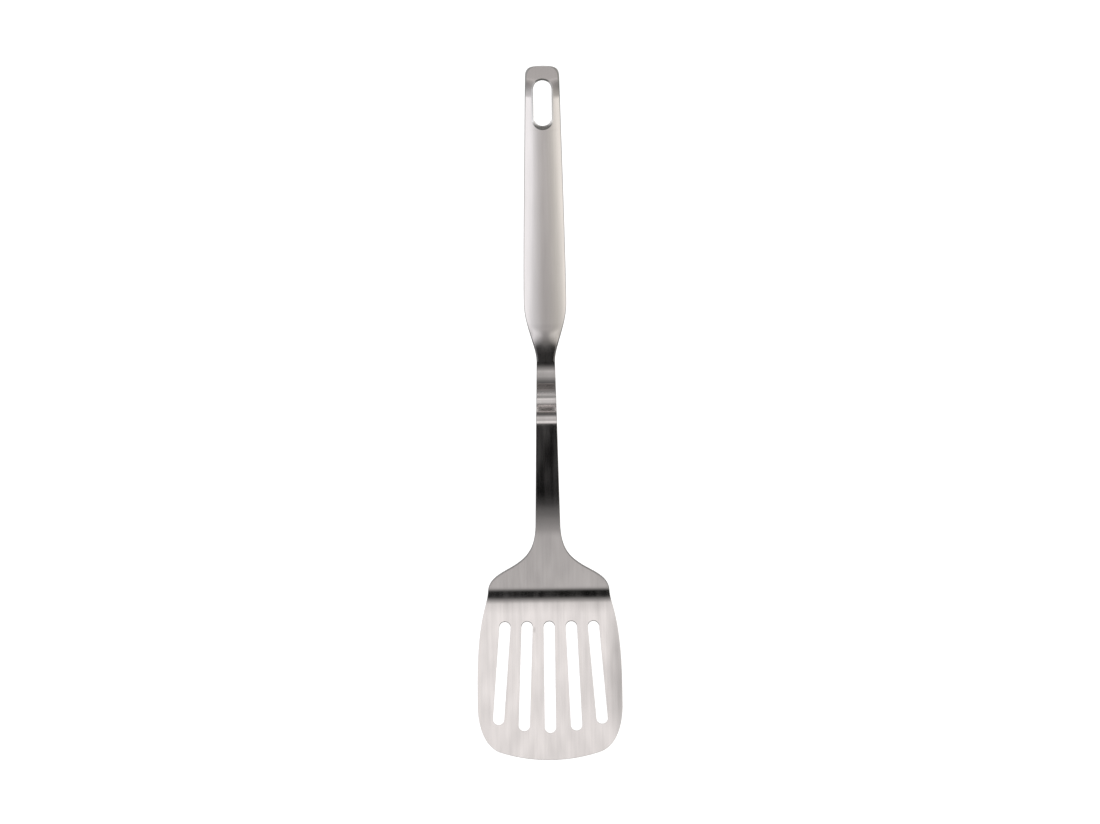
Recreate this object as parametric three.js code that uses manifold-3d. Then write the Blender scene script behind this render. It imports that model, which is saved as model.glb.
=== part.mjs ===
// A slotted spatula, all in stainless steel, lying face up with its blade towards -Y. Millimetres, +Z up.
// Four pieces: a stamped blade and neck, the front and back shells of a hollow handle, and the sleeve that
// lines the hanging hole. Every piece follows one side profile, from the blade's tip to the handle's end.
import * as THREE from "three";
import { mergeVertices } from "three/addons/utils/BufferGeometryUtils.js";
import Module from "manifold-3d";

const wasm = await Module();
wasm.setup();

const { clamp, lerp, smoothstep } = THREE.MathUtils;
const DEGREE = Math.PI / 180;
const RIGHT_ANGLE = 90 * DEGREE;

// Stock and fits
const SHEET = 2; // thickness of the blade and neck
const EDGE_BREAK = 0.35; // chamfer along the edges of that sheet
const SHELL_WALL = 1; // thickness of the handle's shells
const FIT = 0.3; // gap between pieces that touch

// Blade
const BLADE_LENGTH = 85.8; // tip to heel bend
const BLADE_WIDTH = 72.8;
const BLADE_TILT = 9.5 * DEGREE; // how far the tip is lifted off the table
const BLADE_BEND_RADIUS = 50; // gentle bend where the blade runs into the heel
const TIP_RADIUS = 82; // sweep of the front edge
const TIP_WIDTH = 50; // how much of the front edge follows that sweep
const CORNER_LENGTH = 28; // tip to where the sides run straight
const STRAIGHT_LENGTH = 8; // straight part of each side
const HEEL_WIDTH = 61.1;
const HEEL_FLARE = 3 * DEGREE; // how fast the blade widens in front of the heel

// Slots in the blade, fanned about the middle one
const SLOT_COUNT = 5;
const SLOT_WIDTH = 5.6;
const SLOT_HEEL_MARGIN = 16; // heel bend to the slots' upper ends
const SLOT_TIP_MARGIN = 13.6; // tip to the middle slot's lower end
const SLOT_FAN_RADIUS = 285; // upper ends to the point where the slots' axes would meet
const SLOT_PITCH = 11.2; // spacing at the upper ends
const SLOT_END_RADIUS = 80; // sweep of the lower ends

// Shoulder and neck
const HEEL_TILT = 0.8 * DEGREE; // slope of the blade between its gentle bend and the heel bend
const HEEL_BEND_RADIUS = 6.5;
const SHOULDER_RISE = 11 * DEGREE;
const SHOULDER_LENGTH = 42.3; // heel bend to neck bend
const SHOULDER_BEND_RADIUS = 133;
const SHOULDER_LEAVE = 5 * DEGREE; // slope of the shoulder's outline at the heel
const SHOULDER_RUN = 10.9; // heel bend to the steepest point of that outline
const SHOULDER_WIDTH = 40.6; // width at that point
const SHOULDER_SWEEP = 61 * DEGREE; // slope of the outline there
const SHOULDER_END = 33; // heel bend to where the neck's own sides begin
const NECK_TAPER = 2.4 * DEGREE; // slope of the outline there
const NECK_WIDTH = 11.8; // at the shoulder
const NECK_END_WIDTH = 9.3; // where it enters the handle
const NECK_LENGTH = 42.5; // neck bend to the crest in front of the dip
const NECK_FALL = 1 * DEGREE; // slope of the neck towards the dip
const CREST_SLOPE = 3.5 * DEGREE; // slope between that crest and the dip's lip
const CREST_BEND_RADIUS = 35;

// The dip in the neck, whose floor is level with the heel, so that the spatula lies on both
const DIP_SLOPE = 46 * DEGREE;
const DIP_BACK_SLOPE = 44 * DEGREE;
const DIP_LIP_RADIUS = 7;
const DIP_FLOOR_RADIUS = 7.5;
const DIP_BACK_RADIUS = 5;
const RAMP_SLOPE = 14.5 * DEGREE; // short easier stretch between the dip and the handle
const RAMP_LENGTH = 7.2;
const RAMP_BEND_RADIUS = 21;

// Tang, the end of the neck inside the handle
const TONGUE_SEAT = 11.9; // level stretch of neck between the ramp and the handle's bend
const TANG_WIDTH = 6.4;
const TANG_SHOULDER = 4; // length over which the neck narrows to the tang
const TANG_LENGTH = 32; // handle's bend to the tang's end

// Handle
const HANDLE_SLOPE = 15.5 * DEGREE;
const HANDLE_LENGTH = 139.8; // handle's bend to its end
const HANDLE_BEND_RADIUS = 70;
const HANDLE_WIDTH = 21.4; // at its widest
const HANDLE_END_WIDTH = 17;
const HANDLE_END_TAPER = 1.35 * DEGREE; // slope of the sides near the end
const TONGUE_SETBACK = 2.3; // ramp bend to the front edge of the shells
const NOSE_LENGTH = 30; // front edge of the shells to the widest point
const END_CORNER = 6; // length of the rounded corners at the end
const FRONT_CROWN = 3; // rise of the front shell from its edge to its middle, at the widest point
const BACK_CROWN = 2.4;
const EDGE_HEIGHT = 1.75; // outer edge of a shell above the seam
const EDGE_ROUND = 0.8;
const TONGUE_HEIGHT = SHEET / 2 + FIT + SHELL_WALL; // outside of a shell above the seam, on the tongue
const TAB_HEIGHT = FIT / 2 + SHELL_WALL; // the same at the flat end
const TAB_LENGTH = 6.5; // flat end, where the two shells lie on each other
const TAB_RISE = 12; // length over which the crown rises from that flat
const NOSE_FLAT = 4.5; // flat tongue at the front edge of the shells
const NOSE_RISE = 7; // length over which the crown rises from the tongue

// Hanging hole
const HOLE_LENGTH = 23.6;
const HOLE_WIDTH = 8.7;
const HOLE_MARGIN = 6.5; // handle's end to the hole
const SLEEVE_WALL = 1;
const LIP_ROUND = 0.35; // rounding of the sleeve's inner edges

// How long the curves of the outlines hold the direction they leave in and the one they arrive in, as
// shares of each curve's own run
const TIP_HOLD = [0.31, 0.54];
const SIDE_HOLD = [0.73, 0.16];
const HEEL_HOLD = [0.5, 0.5];
const SHOULDER_HOLD = [0.48, 0.57];
const TANG_HOLD = [0.5, 0.5];
const NOSE_HOLD = [0.27, 0.39];
const TAPER_HOLD = [0.2, 0.3];
const END_HOLD = [0.87, 0.73];

// Fineness of the faceted curves
const CURVE_STEPS = 7;
const BEND_STEP = 6 * DEGREE;
const CROWN_STEPS = 10;
const ROUND_STEPS = 3;
const SLOT_STEPS = 8;
const HANDLE_STEP = 6;
const FADE_STEP = 1.8; // where the crown fades
const OUTLINE_STEPS = 60; // for reading widths off an outline
const CLOSEST = 0.25; // stations nearer to each other than this are taken as one
const WELD = 1e-4; // points nearer to each other than this are one point
const OVERCUT = 1; // how far a cutting solid reaches past what it cuts
const ROUND_ROOM = 0.8; // most of an edge's height that its rounding may take
const LEAST_HOLLOW = 0.2; // a shell is left solid where its hollow would be lower than this

// Side profile

// How far from its corner a bend begins.
function setback(radius, turn) {
  return radius * Math.tan(turn / 2);
}

// Lowest place of a bend above its corner, between a falling and a rising slope.
function bendFloor(radius, fall, rise) {
  return setback(radius, fall + rise) * Math.sin(fall) + radius * (Math.cos(fall) - 1);
}

// A line in the YZ plane through the given corners, each rounded to its own radius. Where the bends at both
// ends of a stretch would overlap, both are made smaller. It also notes how far along the line the middle of
// each bend lies, and where the facets of the bends go.
function bentLine(corners) {
  const legs = corners.slice(1).map(({ point }, i) => point.clone().sub(corners[i].point));
  const turnAt = (i) => {
    const turn = legs[i].angle() - legs[i - 1].angle();
    return Math.atan2(Math.sin(turn), Math.cos(turn));
  };
  const wanted = corners.map(({ radius }, i) => (radius ? setback(radius, Math.abs(turnAt(i))) : 0));
  const room = legs.map((leg, i) => Math.min(1, leg.length() / (wanted[i] + wanted[i + 1])));

  const line = new THREE.CurvePath();
  const stations = {};
  const facets = [];
  let from = corners[0].point;
  let length = 0;
  for (let i = 1; i < corners.length - 1; i++) {
    const { name, point } = corners[i];
    const bend = turnAt(i);
    const reach = wanted[i] * Math.min(room[i - 1], room[i]);
    const bendRadius = reach / Math.tan(Math.abs(bend) / 2);

    const before = legs[i - 1].clone().normalize();
    const start = point.clone().addScaledVector(before, -reach);
    const inward = new THREE.Vector2(-before.y, before.x).multiplyScalar(Math.sign(bend));
    const centre = start.clone().addScaledVector(inward, bendRadius);
    const startAngle = Math.atan2(-inward.y, -inward.x);
    const angles = [startAngle, startAngle + bend, bend < 0];
    line.add(new THREE.LineCurve(from, start));
    line.add(new THREE.EllipseCurve(centre.x, centre.y, bendRadius, bendRadius, ...angles));

    const arcStart = length + from.distanceTo(start);
    const arcLength = bendRadius * Math.abs(bend);
    const steps = Math.max(2, Math.ceil(Math.abs(bend) / BEND_STEP));
    for (let k = 0; k <= steps; k++) {
      facets.push(arcStart + (arcLength * k) / steps);
    }
    stations[name] = arcStart + arcLength / 2;
    length = arcStart + arcLength;
    from = point.clone().addScaledVector(legs[i].clone().normalize(), reach);
  }
  line.add(new THREE.LineCurve(from, corners[corners.length - 1].point));
  return { line, stations, facets, length: line.getLength() };
}

// The corners of the side profile, measured from the heel. The dip reaches down to the height of the heel, so
// that the spatula lies steadily on both. The bends at the heel and at the dip's lip each follow a gentler
// one, without a straight stretch between the two.
function sideProfile() {
  const step = (from, length, slope) =>
    new THREE.Vector2(from.x + length * Math.cos(slope), from.y + length * Math.sin(slope));
  const heelRun =
    setback(HEEL_BEND_RADIUS, HEEL_TILT + SHOULDER_RISE) +
    setback(BLADE_BEND_RADIUS, BLADE_TILT - HEEL_TILT);
  const crestRun =
    setback(CREST_BEND_RADIUS, CREST_SLOPE - NECK_FALL) + setback(DIP_LIP_RADIUS, DIP_SLOPE - CREST_SLOPE);
  const heelFloor = bendFloor(HEEL_BEND_RADIUS, HEEL_TILT, SHOULDER_RISE);
  const dipHeight = heelFloor - bendFloor(DIP_FLOOR_RADIUS, DIP_SLOPE, DIP_BACK_SLOPE);

  const heel = new THREE.Vector2();
  const blade = step(heel, -heelRun, -HEEL_TILT);
  const tip = step(blade, heelRun - BLADE_LENGTH, -BLADE_TILT);
  const neck = step(heel, SHOULDER_LENGTH, SHOULDER_RISE);
  const crest = step(neck, NECK_LENGTH, -NECK_FALL);
  const dipLip = step(crest, crestRun, -CREST_SLOPE);
  const dipFall = dipLip.y - dipHeight;
  const dipFloor = step(dipLip, dipFall / Math.sin(DIP_SLOPE), -DIP_SLOPE);
  const dipRise = crest.y - RAMP_LENGTH * Math.sin(RAMP_SLOPE) - dipHeight;
  const dipBack = step(dipFloor, dipRise / Math.sin(DIP_BACK_SLOPE), DIP_BACK_SLOPE);
  const ramp = step(dipBack, RAMP_LENGTH, RAMP_SLOPE);
  const handle = step(ramp, TONGUE_SEAT, 0);
  const end = step(handle, HANDLE_LENGTH, HANDLE_SLOPE);

  return bentLine([
    { name: "tip", point: tip },
    { name: "blade", point: blade, radius: BLADE_BEND_RADIUS },
    { name: "heel", point: heel, radius: HEEL_BEND_RADIUS },
    { name: "neck", point: neck, radius: SHOULDER_BEND_RADIUS },
    { name: "crest", point: crest, radius: CREST_BEND_RADIUS },
    { name: "dipLip", point: dipLip, radius: DIP_LIP_RADIUS },
    { name: "dipFloor", point: dipFloor, radius: DIP_FLOOR_RADIUS },
    { name: "dipBack", point: dipBack, radius: DIP_BACK_RADIUS },
    { name: "ramp", point: ramp, radius: RAMP_BEND_RADIUS },
    { name: "handle", point: handle, radius: HANDLE_BEND_RADIUS },
    { name: "end", point: end },
  ]);
}

const profile = sideProfile();
const HEEL = profile.stations.heel;
const TONGUE = profile.stations.ramp + TONGUE_SETBACK;
const TANG_END = profile.stations.handle + TANG_LENGTH;
const END = profile.length;
const HOLE_CENTRE = END - HOLE_MARGIN - HOLE_LENGTH / 2;

// The point x across, s along the side profile and w above it.
function along(x, s, w) {
  const share = clamp(s / profile.length, 0, 1);
  const point = profile.line.getPoint(share);
  const tangent = profile.line.getTangent(share);
  return new THREE.Vector3(x, point.x - w * tangent.y, point.y + w * tangent.x);
}

// The same, but above the seam of the handle, which is the middle of the sheet up to the tongue. The front
// shell's ridge runs straight on from the tongue, so the seam sinks where the crown rises.
function alongSeam(x, s, w) {
  return along(x, s, w + TONGUE_HEIGHT - shellHeight(0, s, FRONT_CROWN));
}

// Outlines, as half widths along the side profile

// Adds a curve that leaves an outline's last point at one angle to the side profile and arrives at the
// next point at another. Each angle is held for its share of the longer side of the curve's run.
function curveTo(outline, s, half, leave, arrive, [leaveShare, arriveShare]) {
  const from = outline.currentPoint;
  const run = Math.max(Math.abs(s - from.x), Math.abs(half - from.y));
  outline.bezierCurveTo(
    from.x + run * leaveShare * Math.cos(leave),
    from.y + run * leaveShare * Math.sin(leave),
    s - run * arriveShare * Math.cos(arrive),
    half - run * arriveShare * Math.sin(arrive),
    s,
    half,
  );
}

// Half of the blank that the head is bent from, drawn from the tip to the tang's end.
function headOutline() {
  const half = BLADE_WIDTH / 2;
  const tipAngle = Math.asin(TIP_WIDTH / 2 / TIP_RADIUS);
  const sideEnd = CORNER_LENGTH + STRAIGHT_LENGTH;
  const steepest = HEEL + SHOULDER_RUN;
  const tongueHalf = NECK_END_WIDTH / 2;
  const tangStart = TONGUE + NOSE_FLAT - TANG_SHOULDER / 2;

  const outline = new THREE.Path();
  outline.absarc(TIP_RADIUS, 0, TIP_RADIUS, Math.PI, Math.PI - tipAngle, true);
  curveTo(outline, CORNER_LENGTH, half, RIGHT_ANGLE - tipAngle, 0, TIP_HOLD);
  outline.lineTo(sideEnd, half);
  curveTo(outline, HEEL, HEEL_WIDTH / 2, 0, -HEEL_FLARE, SIDE_HOLD);
  curveTo(outline, steepest, SHOULDER_WIDTH / 2, -SHOULDER_LEAVE, -SHOULDER_SWEEP, HEEL_HOLD);
  curveTo(outline, HEEL + SHOULDER_END, NECK_WIDTH / 2, -SHOULDER_SWEEP, -NECK_TAPER, SHOULDER_HOLD);
  outline.lineTo(TONGUE, tongueHalf);
  outline.lineTo(tangStart, tongueHalf);
  curveTo(outline, tangStart + TANG_SHOULDER, TANG_WIDTH / 2, 0, 0, TANG_HOLD);
  outline.lineTo(TANG_END, TANG_WIDTH / 2);
  return outline;
}

// Half of the handle, from the shells' front edge to the end.
function handleOutline() {
  const half = HANDLE_WIDTH / 2;
  const endHalf = HANDLE_END_WIDTH / 2;
  const outline = new THREE.Path();
  outline.moveTo(TONGUE, NECK_END_WIDTH / 2);
  curveTo(outline, TONGUE + NOSE_LENGTH, half, 0, 0, NOSE_HOLD);
  curveTo(outline, END - END_CORNER, endHalf, 0, -HANDLE_END_TAPER, TAPER_HOLD);
  outline.bezierCurveTo(
    END - END_CORNER + END_CORNER * END_HOLD[0],
    endHalf,
    END,
    endHalf * END_HOLD[1],
    END,
    0,
  );
  return outline;
}

// The half width at a station, read off the points of an outline.
function widthReader(outline) {
  const points = outline.getPoints(OUTLINE_STEPS);
  return (s) => {
    const i = Math.max(1, points.findIndex((point) => point.x >= s));
    const [a, b] = [points[i - 1], points[i]];
    return lerp(a.y, b.y, clamp((s - a.x) / (b.x - a.x), 0, 1));
  };
}

const headHalf = widthReader(headOutline());
const handleHalf = widthReader(handleOutline());

// Stations, the places along the side profile where a solid has a ring

function outlineStations(outline) {
  return outline.getPoints(CURVE_STEPS).map((point) => point.x);
}

function evenStations(from, to, step) {
  const count = Math.ceil((to - from) / step);
  return Array.from({ length: count + 1 }, (_, k) => lerp(from, to, k / count));
}

// From one end to the other in order, without any that nearly coincide.
function inOrder(stations, from, to) {
  const inside = stations.filter((s) => s > from + CLOSEST && s < to - CLOSEST);
  const kept = [from];
  for (const s of inside.sort((a, b) => a - b)) {
    if (s - kept[kept.length - 1] > CLOSEST) {
      kept.push(s);
    }
  }
  return [...kept, to];
}

// Solids

// A closed solid through rings of points, all with the same count. The rings run along the solid with open
// ends that get flat caps, or go round and meet again.
function loft(rings, goesRound = false) {
  const count = rings[0].length;
  const positions = rings.flat().flatMap((point) => point.toArray());
  const triangles = [];
  const joins = goesRound ? rings.length : rings.length - 1;
  for (let i = 0; i < joins; i++) {
    const near = i * count;
    const far = ((i + 1) % rings.length) * count;
    for (let j = 0; j < count; j++) {
      const k = (j + 1) % count;
      triangles.push(near + j, far + k, near + k, near + j, far + j, far + k);
    }
  }
  if (!goesRound) {
    const last = (rings.length - 1) * count;
    for (let j = 1; j < count - 1; j++) {
      triangles.push(0, j, j + 1, last, last + j + 1, last + j);
    }
  }
  const geometry = new THREE.BufferGeometry();
  geometry.setAttribute("position", new THREE.Float32BufferAttribute(positions, 3));
  geometry.setIndex(triangles);
  return solidOf(geometry);
}

function solidOf(geometry) {
  geometry.deleteAttribute("normal");
  geometry.deleteAttribute("uv");
  const merged = mergeVertices(geometry, WELD);
  return new wasm.Manifold(
    new wasm.Mesh({
      numProp: 3,
      vertProperties: new Float32Array(merged.attributes.position.array),
      triVerts: new Uint32Array(merged.index.array),
    }),
  );
}

function meshOf(name, solid, material) {
  const { vertProperties, triVerts } = solid.getMesh();
  const geometry = new THREE.BufferGeometry();
  geometry.setAttribute("position", new THREE.BufferAttribute(vertProperties, 3));
  geometry.setIndex(new THREE.BufferAttribute(triVerts, 1));
  geometry.computeVertexNormals();
  const mesh = new THREE.Mesh(geometry, material);
  mesh.name = name;
  return mesh;
}

// A prism with round ends that stands across the sheet, centred on a station.
function slotCutter({ length, width, height, x, s, turn }) {
  const straight = (length - width) / 2;
  const shape = new THREE.Shape();
  shape.absarc(0, straight, width / 2, 0, Math.PI, false);
  shape.absarc(0, -straight, width / 2, Math.PI, 2 * Math.PI, false);
  shape.closePath();
  const geometry = new THREE.ExtrudeGeometry(shape, {
    depth: height,
    curveSegments: SLOT_STEPS,
    bevelEnabled: false,
  });
  geometry.translate(0, 0, -height / 2);
  geometry.rotateZ(turn);
  const origin = along(x, s, 0);
  const across = new THREE.Vector3(1, 0, 0);
  const normal = along(x, s, 1).sub(origin);
  const forward = new THREE.Vector3().crossVectors(normal, across);
  geometry.applyMatrix4(new THREE.Matrix4().makeBasis(across, forward, normal).setPosition(origin));
  return solidOf(geometry);
}

// Blade and neck

// One ring of a flat strip with chamfered edges.
function stripRing(s, half, thickness) {
  const h = thickness / 2;
  const corners = [
    [half, EDGE_BREAK - h],
    [half, h - EDGE_BREAK],
    [half - EDGE_BREAK, h],
    [EDGE_BREAK - half, h],
    [-half, h - EDGE_BREAK],
    [-half, EDGE_BREAK - h],
    [EDGE_BREAK - half, -h],
    [half - EDGE_BREAK, -h],
  ];
  return corners.map(([x, w]) => alongSeam(x, s, w));
}

// The facets of the head, with more where the tang follows the seam.
function headStations() {
  const tang = evenStations(TONGUE, TANG_END, HANDLE_STEP);
  return [...outlineStations(headOutline()), ...profile.facets, ...tang];
}

// The slots' upper ends stand in a row and their lower ends on an arc, spread by the fan.
function bladeSlots() {
  const upperEnd = HEEL - SLOT_HEEL_MARGIN - SLOT_WIDTH / 2;
  const nearTip = SLOT_TIP_MARGIN + SLOT_WIDTH / 2;
  const middle = (SLOT_COUNT - 1) / 2;
  return Array.from({ length: SLOT_COUNT }, (_, i) => {
    const upperX = (i - middle) * SLOT_PITCH;
    const fan = Math.atan2(upperX, SLOT_FAN_RADIUS);
    const spread = upperX * (1 + (upperEnd - nearTip) / SLOT_FAN_RADIUS);
    const lowerEnd = nearTip + (spread * spread) / (2 * SLOT_END_RADIUS);
    const lowerX = upperX + (upperEnd - lowerEnd) * Math.tan(fan);
    return slotCutter({
      length: (upperEnd - lowerEnd) / Math.cos(fan) + SLOT_WIDTH,
      width: SLOT_WIDTH,
      height: SHEET + 2 * OVERCUT,
      x: (upperX + lowerX) / 2,
      s: (upperEnd + lowerEnd) / 2,
      turn: fan,
    });
  });
}

function bladeAndNeck() {
  const [, firstFacet] = outlineStations(headOutline());
  const stations = inOrder(headStations(), firstFacet, TANG_END);
  const blank = loft(stations.map((s) => stripRing(s, headHalf(s), SHEET)));
  return bladeSlots().reduce((head, slot) => head.subtract(slot), blank);
}

// Handle shells

// How much of the crown the shells have at a station, past the flat tongue at the nose and before the flat tab
// at the end.
function pastNose(s) {
  return smoothstep(s, TONGUE + NOSE_FLAT, TONGUE + NOSE_FLAT + NOSE_RISE);
}

function beforeTab(s) {
  return smoothstep(END - s, TAB_LENGTH, TAB_LENGTH + TAB_RISE);
}

function crownRadius(crown) {
  return ((HANDLE_WIDTH / 2) ** 2 + crown ** 2) / (2 * crown);
}

// Outer height of a shell above the seam. Its crown is an arc that fades out into the tongue and the tab.
function shellHeight(x, s, crown) {
  const radius = crownRadius(crown);
  const half = Math.min(handleHalf(s), HANDLE_WIDTH / 2);
  const reach = Math.min(Math.abs(x), half);
  const rise = Math.sqrt(radius ** 2 - reach ** 2) - Math.sqrt(radius ** 2 - half ** 2);
  const bodyEdge = lerp(TONGUE_HEIGHT, EDGE_HEIGHT, smoothstep(s, TONGUE, TONGUE + NOSE_LENGTH));
  return lerp(TAB_HEIGHT, bodyEdge, beforeTab(s)) + pastNose(s) * beforeTab(s) * rise;
}

// How steeply the crown falls towards the edge, x across.
function crownSlope(x, s, crown) {
  const steepness = x / Math.sqrt(crownRadius(crown) ** 2 - x ** 2);
  return Math.atan(pastNose(s) * beforeTab(s) * steepness);
}

// One ring of a shell's outside, from the seam on one edge over the crown to the other, with edges rounded
// into the crown. The back shell's ring is the same one upside down, so it runs the other way round.
function outsideRing(s, { side, crown }) {
  const half = handleHalf(s);
  const seam = FIT / 2;
  const round = Math.min(EDGE_ROUND, half / 2, ROUND_ROOM * (shellHeight(half, s, crown) - seam));
  const slope = crownSlope(half - round, s, crown);
  const touch = half - round * (1 - Math.sin(slope));
  const shoulder = shellHeight(touch, s, crown) - round * Math.cos(slope);
  const right = [[half, seam]];
  for (let k = 0; k < ROUND_STEPS; k++) {
    const angle = (k / ROUND_STEPS) * (RIGHT_ANGLE - slope);
    right.push([half - round + round * Math.cos(angle), shoulder + round * Math.sin(angle)]);
  }
  const left = right.map(([x, w]) => [-x, w]).reverse();
  const top = [];
  for (let k = 0; k <= CROWN_STEPS; k++) {
    const x = touch * (1 - (2 * k) / CROWN_STEPS);
    top.push([x, shellHeight(x, s, crown)]);
  }
  const ring = [...right, ...top, ...left].map(([x, w]) => alongSeam(x, s, side * w));
  return side > 0 ? ring : ring.reverse();
}

// One ring of a shell's hollow, open past the seam.
function insideRing(s, { side, crown }) {
  const half = handleHalf(s) - SHELL_WALL;
  const ring = [alongSeam(half, s, -side * OVERCUT)];
  for (let k = 0; k <= CROWN_STEPS; k++) {
    const x = half * (1 - (2 * k) / CROWN_STEPS);
    ring.push(alongSeam(x, s, side * (shellHeight(x, s, crown) - SHELL_WALL)));
  }
  ring.push(alongSeam(-half, s, -side * OVERCUT));
  return side > 0 ? ring : ring.reverse();
}

function handleStations() {
  const outline = outlineStations(handleOutline());
  const noseStart = TONGUE + NOSE_FLAT;
  const tabStart = END - TAB_LENGTH;
  const noseRise = evenStations(noseStart, noseStart + NOSE_RISE, FADE_STEP);
  const body = evenStations(TONGUE + NOSE_LENGTH, tabStart - TAB_RISE, HANDLE_STEP);
  const tabRise = evenStations(tabStart - TAB_RISE, tabStart, FADE_STEP);
  const lastFacet = outline[outline.length - 2];
  return inOrder([...outline, ...noseRise, ...body, ...tabRise, ...profile.facets], TONGUE, lastFacet);
}

// The space that the neck and tang take up between the shells.
function tangPocket() {
  const stations = inOrder(headStations(), TONGUE - OVERCUT, TANG_END + FIT);
  const pocketHalf = (s) => headHalf(Math.min(s, TANG_END)) + FIT;
  return loft(stations.map((s) => stripRing(s, pocketHalf(s), SHEET + 2 * FIT)));
}

function handleShell(shell) {
  const stations = handleStations();
  const leastHalf = TANG_WIDTH / 2 + FIT + SHELL_WALL;
  const leastHeight = FIT / 2 + SHELL_WALL + LEAST_HOLLOW;
  const hollow = stations.filter((s) => {
    const half = handleHalf(s);
    return half > leastHalf && shellHeight(half, s, shell.crown) > leastHeight;
  });
  const outside = loft(stations.map((s) => outsideRing(s, shell)));
  const inside = loft(hollow.map((s) => insideRing(s, shell)));
  const sleeveHole = slotCutter({
    length: HOLE_LENGTH + 2 * (SLEEVE_WALL + FIT),
    width: HOLE_WIDTH + 2 * (SLEEVE_WALL + FIT),
    height: 2 * (2 * EDGE_HEIGHT + FRONT_CROWN + BACK_CROWN),
    x: 0,
    s: HOLE_CENTRE,
    turn: 0,
  });
  return outside.subtract(inside).subtract(tangPocket()).subtract(sleeveHole);
}

// Sleeve of the hanging hole

// Goes round the hole, following both shells: at each place its wall reaches from the back shell's outside
// to the front shell's, and its inner edges are rounded.
function holeSleeve(front, back) {
  const straight = (HOLE_LENGTH - HOLE_WIDTH) / 2;
  const places = [];
  for (const end of [1, -1]) {
    for (let k = 0; k <= 2 * SLOT_STEPS; k++) {
      const angle = end * RIGHT_ANGLE + (k / SLOT_STEPS - 1) * RIGHT_ANGLE;
      places.push({ angle, s: HOLE_CENTRE + end * straight });
    }
  }
  const rings = places.map(({ angle, s }) => {
    const point = (outward, shell, drop) => {
      const x = (HOLE_WIDTH / 2 + outward) * Math.cos(angle);
      const station = s + (HOLE_WIDTH / 2 + outward) * Math.sin(angle);
      return alongSeam(x, station, shell.side * (shellHeight(x, station, shell.crown) - drop));
    };
    const lip = (shell) => {
      const points = [point(SLEEVE_WALL, shell, 0)];
      for (let k = 0; k <= ROUND_STEPS; k++) {
        const turn = (k / ROUND_STEPS) * RIGHT_ANGLE;
        points.push(point(LIP_ROUND * (1 - Math.sin(turn)), shell, LIP_ROUND * (1 - Math.cos(turn))));
      }
      return points;
    };
    return [...lip(front), ...lip(back).reverse()];
  });
  return loft(rings, true);
}

// The spatula

const brushedSteel = new THREE.MeshStandardMaterial({ color: 0xd8d2cf, metalness: 1, roughness: 0.34 });
const satinSteel = new THREE.MeshStandardMaterial({ color: 0xcfc9c5, metalness: 1, roughness: 0.28 });
const backSteel = new THREE.MeshStandardMaterial({ color: 0xc4bebb, metalness: 1, roughness: 0.4 });
const sleeveSteel = new THREE.MeshStandardMaterial({ color: 0xb9b3b0, metalness: 1, roughness: 0.25 });

const frontShell = { side: 1, crown: FRONT_CROWN };
const backShell = { side: -1, crown: BACK_CROWN };

const handle = new THREE.Group();
handle.add(
  meshOf("handle_front_shell", handleShell(frontShell), satinSteel),
  meshOf("handle_back_shell", handleShell(backShell), backSteel),
  meshOf("hanging_hole_sleeve", holeSleeve(frontShell, backShell), sleeveSteel),
);

const spatula = new THREE.Group();
spatula.add(meshOf("blade_and_neck", bladeAndNeck(), brushedSteel), handle);

// The origin is on the table, under the middle of the spatula's box.
const box = new THREE.Box3().setFromObject(spatula);
const middle = box.getCenter(new THREE.Vector3());
spatula.position.set(-middle.x, -middle.y, -box.min.z);

export default spatula;
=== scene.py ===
"""A slotted stainless steel spatula that lies face up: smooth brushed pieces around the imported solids."""
import math

import bmesh
import bpy
from bpy.props import FloatProperty, FloatVectorProperty, IntProperty, PointerProperty
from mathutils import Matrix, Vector


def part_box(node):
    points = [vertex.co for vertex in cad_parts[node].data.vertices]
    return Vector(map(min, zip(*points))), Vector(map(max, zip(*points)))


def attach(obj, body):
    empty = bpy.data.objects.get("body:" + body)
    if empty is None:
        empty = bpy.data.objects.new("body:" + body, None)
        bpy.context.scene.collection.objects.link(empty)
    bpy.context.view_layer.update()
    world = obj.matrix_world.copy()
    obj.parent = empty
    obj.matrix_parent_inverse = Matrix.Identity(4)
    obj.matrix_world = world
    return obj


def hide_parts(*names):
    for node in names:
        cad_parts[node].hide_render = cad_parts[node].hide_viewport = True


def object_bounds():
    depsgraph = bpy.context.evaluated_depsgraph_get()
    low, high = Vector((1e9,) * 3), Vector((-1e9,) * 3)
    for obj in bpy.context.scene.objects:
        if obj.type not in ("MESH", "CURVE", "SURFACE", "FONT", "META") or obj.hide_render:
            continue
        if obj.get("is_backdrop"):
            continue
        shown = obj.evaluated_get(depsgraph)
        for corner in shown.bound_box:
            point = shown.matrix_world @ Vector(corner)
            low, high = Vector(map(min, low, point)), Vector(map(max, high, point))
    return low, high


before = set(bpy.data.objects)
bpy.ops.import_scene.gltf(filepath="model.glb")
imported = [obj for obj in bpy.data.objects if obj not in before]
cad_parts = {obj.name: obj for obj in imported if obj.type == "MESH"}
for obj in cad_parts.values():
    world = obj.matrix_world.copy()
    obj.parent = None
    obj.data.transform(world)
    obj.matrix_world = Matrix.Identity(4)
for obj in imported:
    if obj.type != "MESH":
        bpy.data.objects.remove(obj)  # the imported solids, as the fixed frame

bl_info = {
    "name": "Slotted Spatula",
    "version": (1, 0, 0),
    "blender": (4, 5, 0),
    "location": "3D View > Sidebar > Spatula",
    "description": "Makes an all-steel slotted spatula and the studio that it lies in",
    "category": "Add Mesh",
}

CAD_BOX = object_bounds()
MM = 0.001
RIGHT_ANGLE = math.pi / 2
GRAIN_MAP = "Grain"  # the UV map of every piece: metres across and along the steel


# Settings

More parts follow.
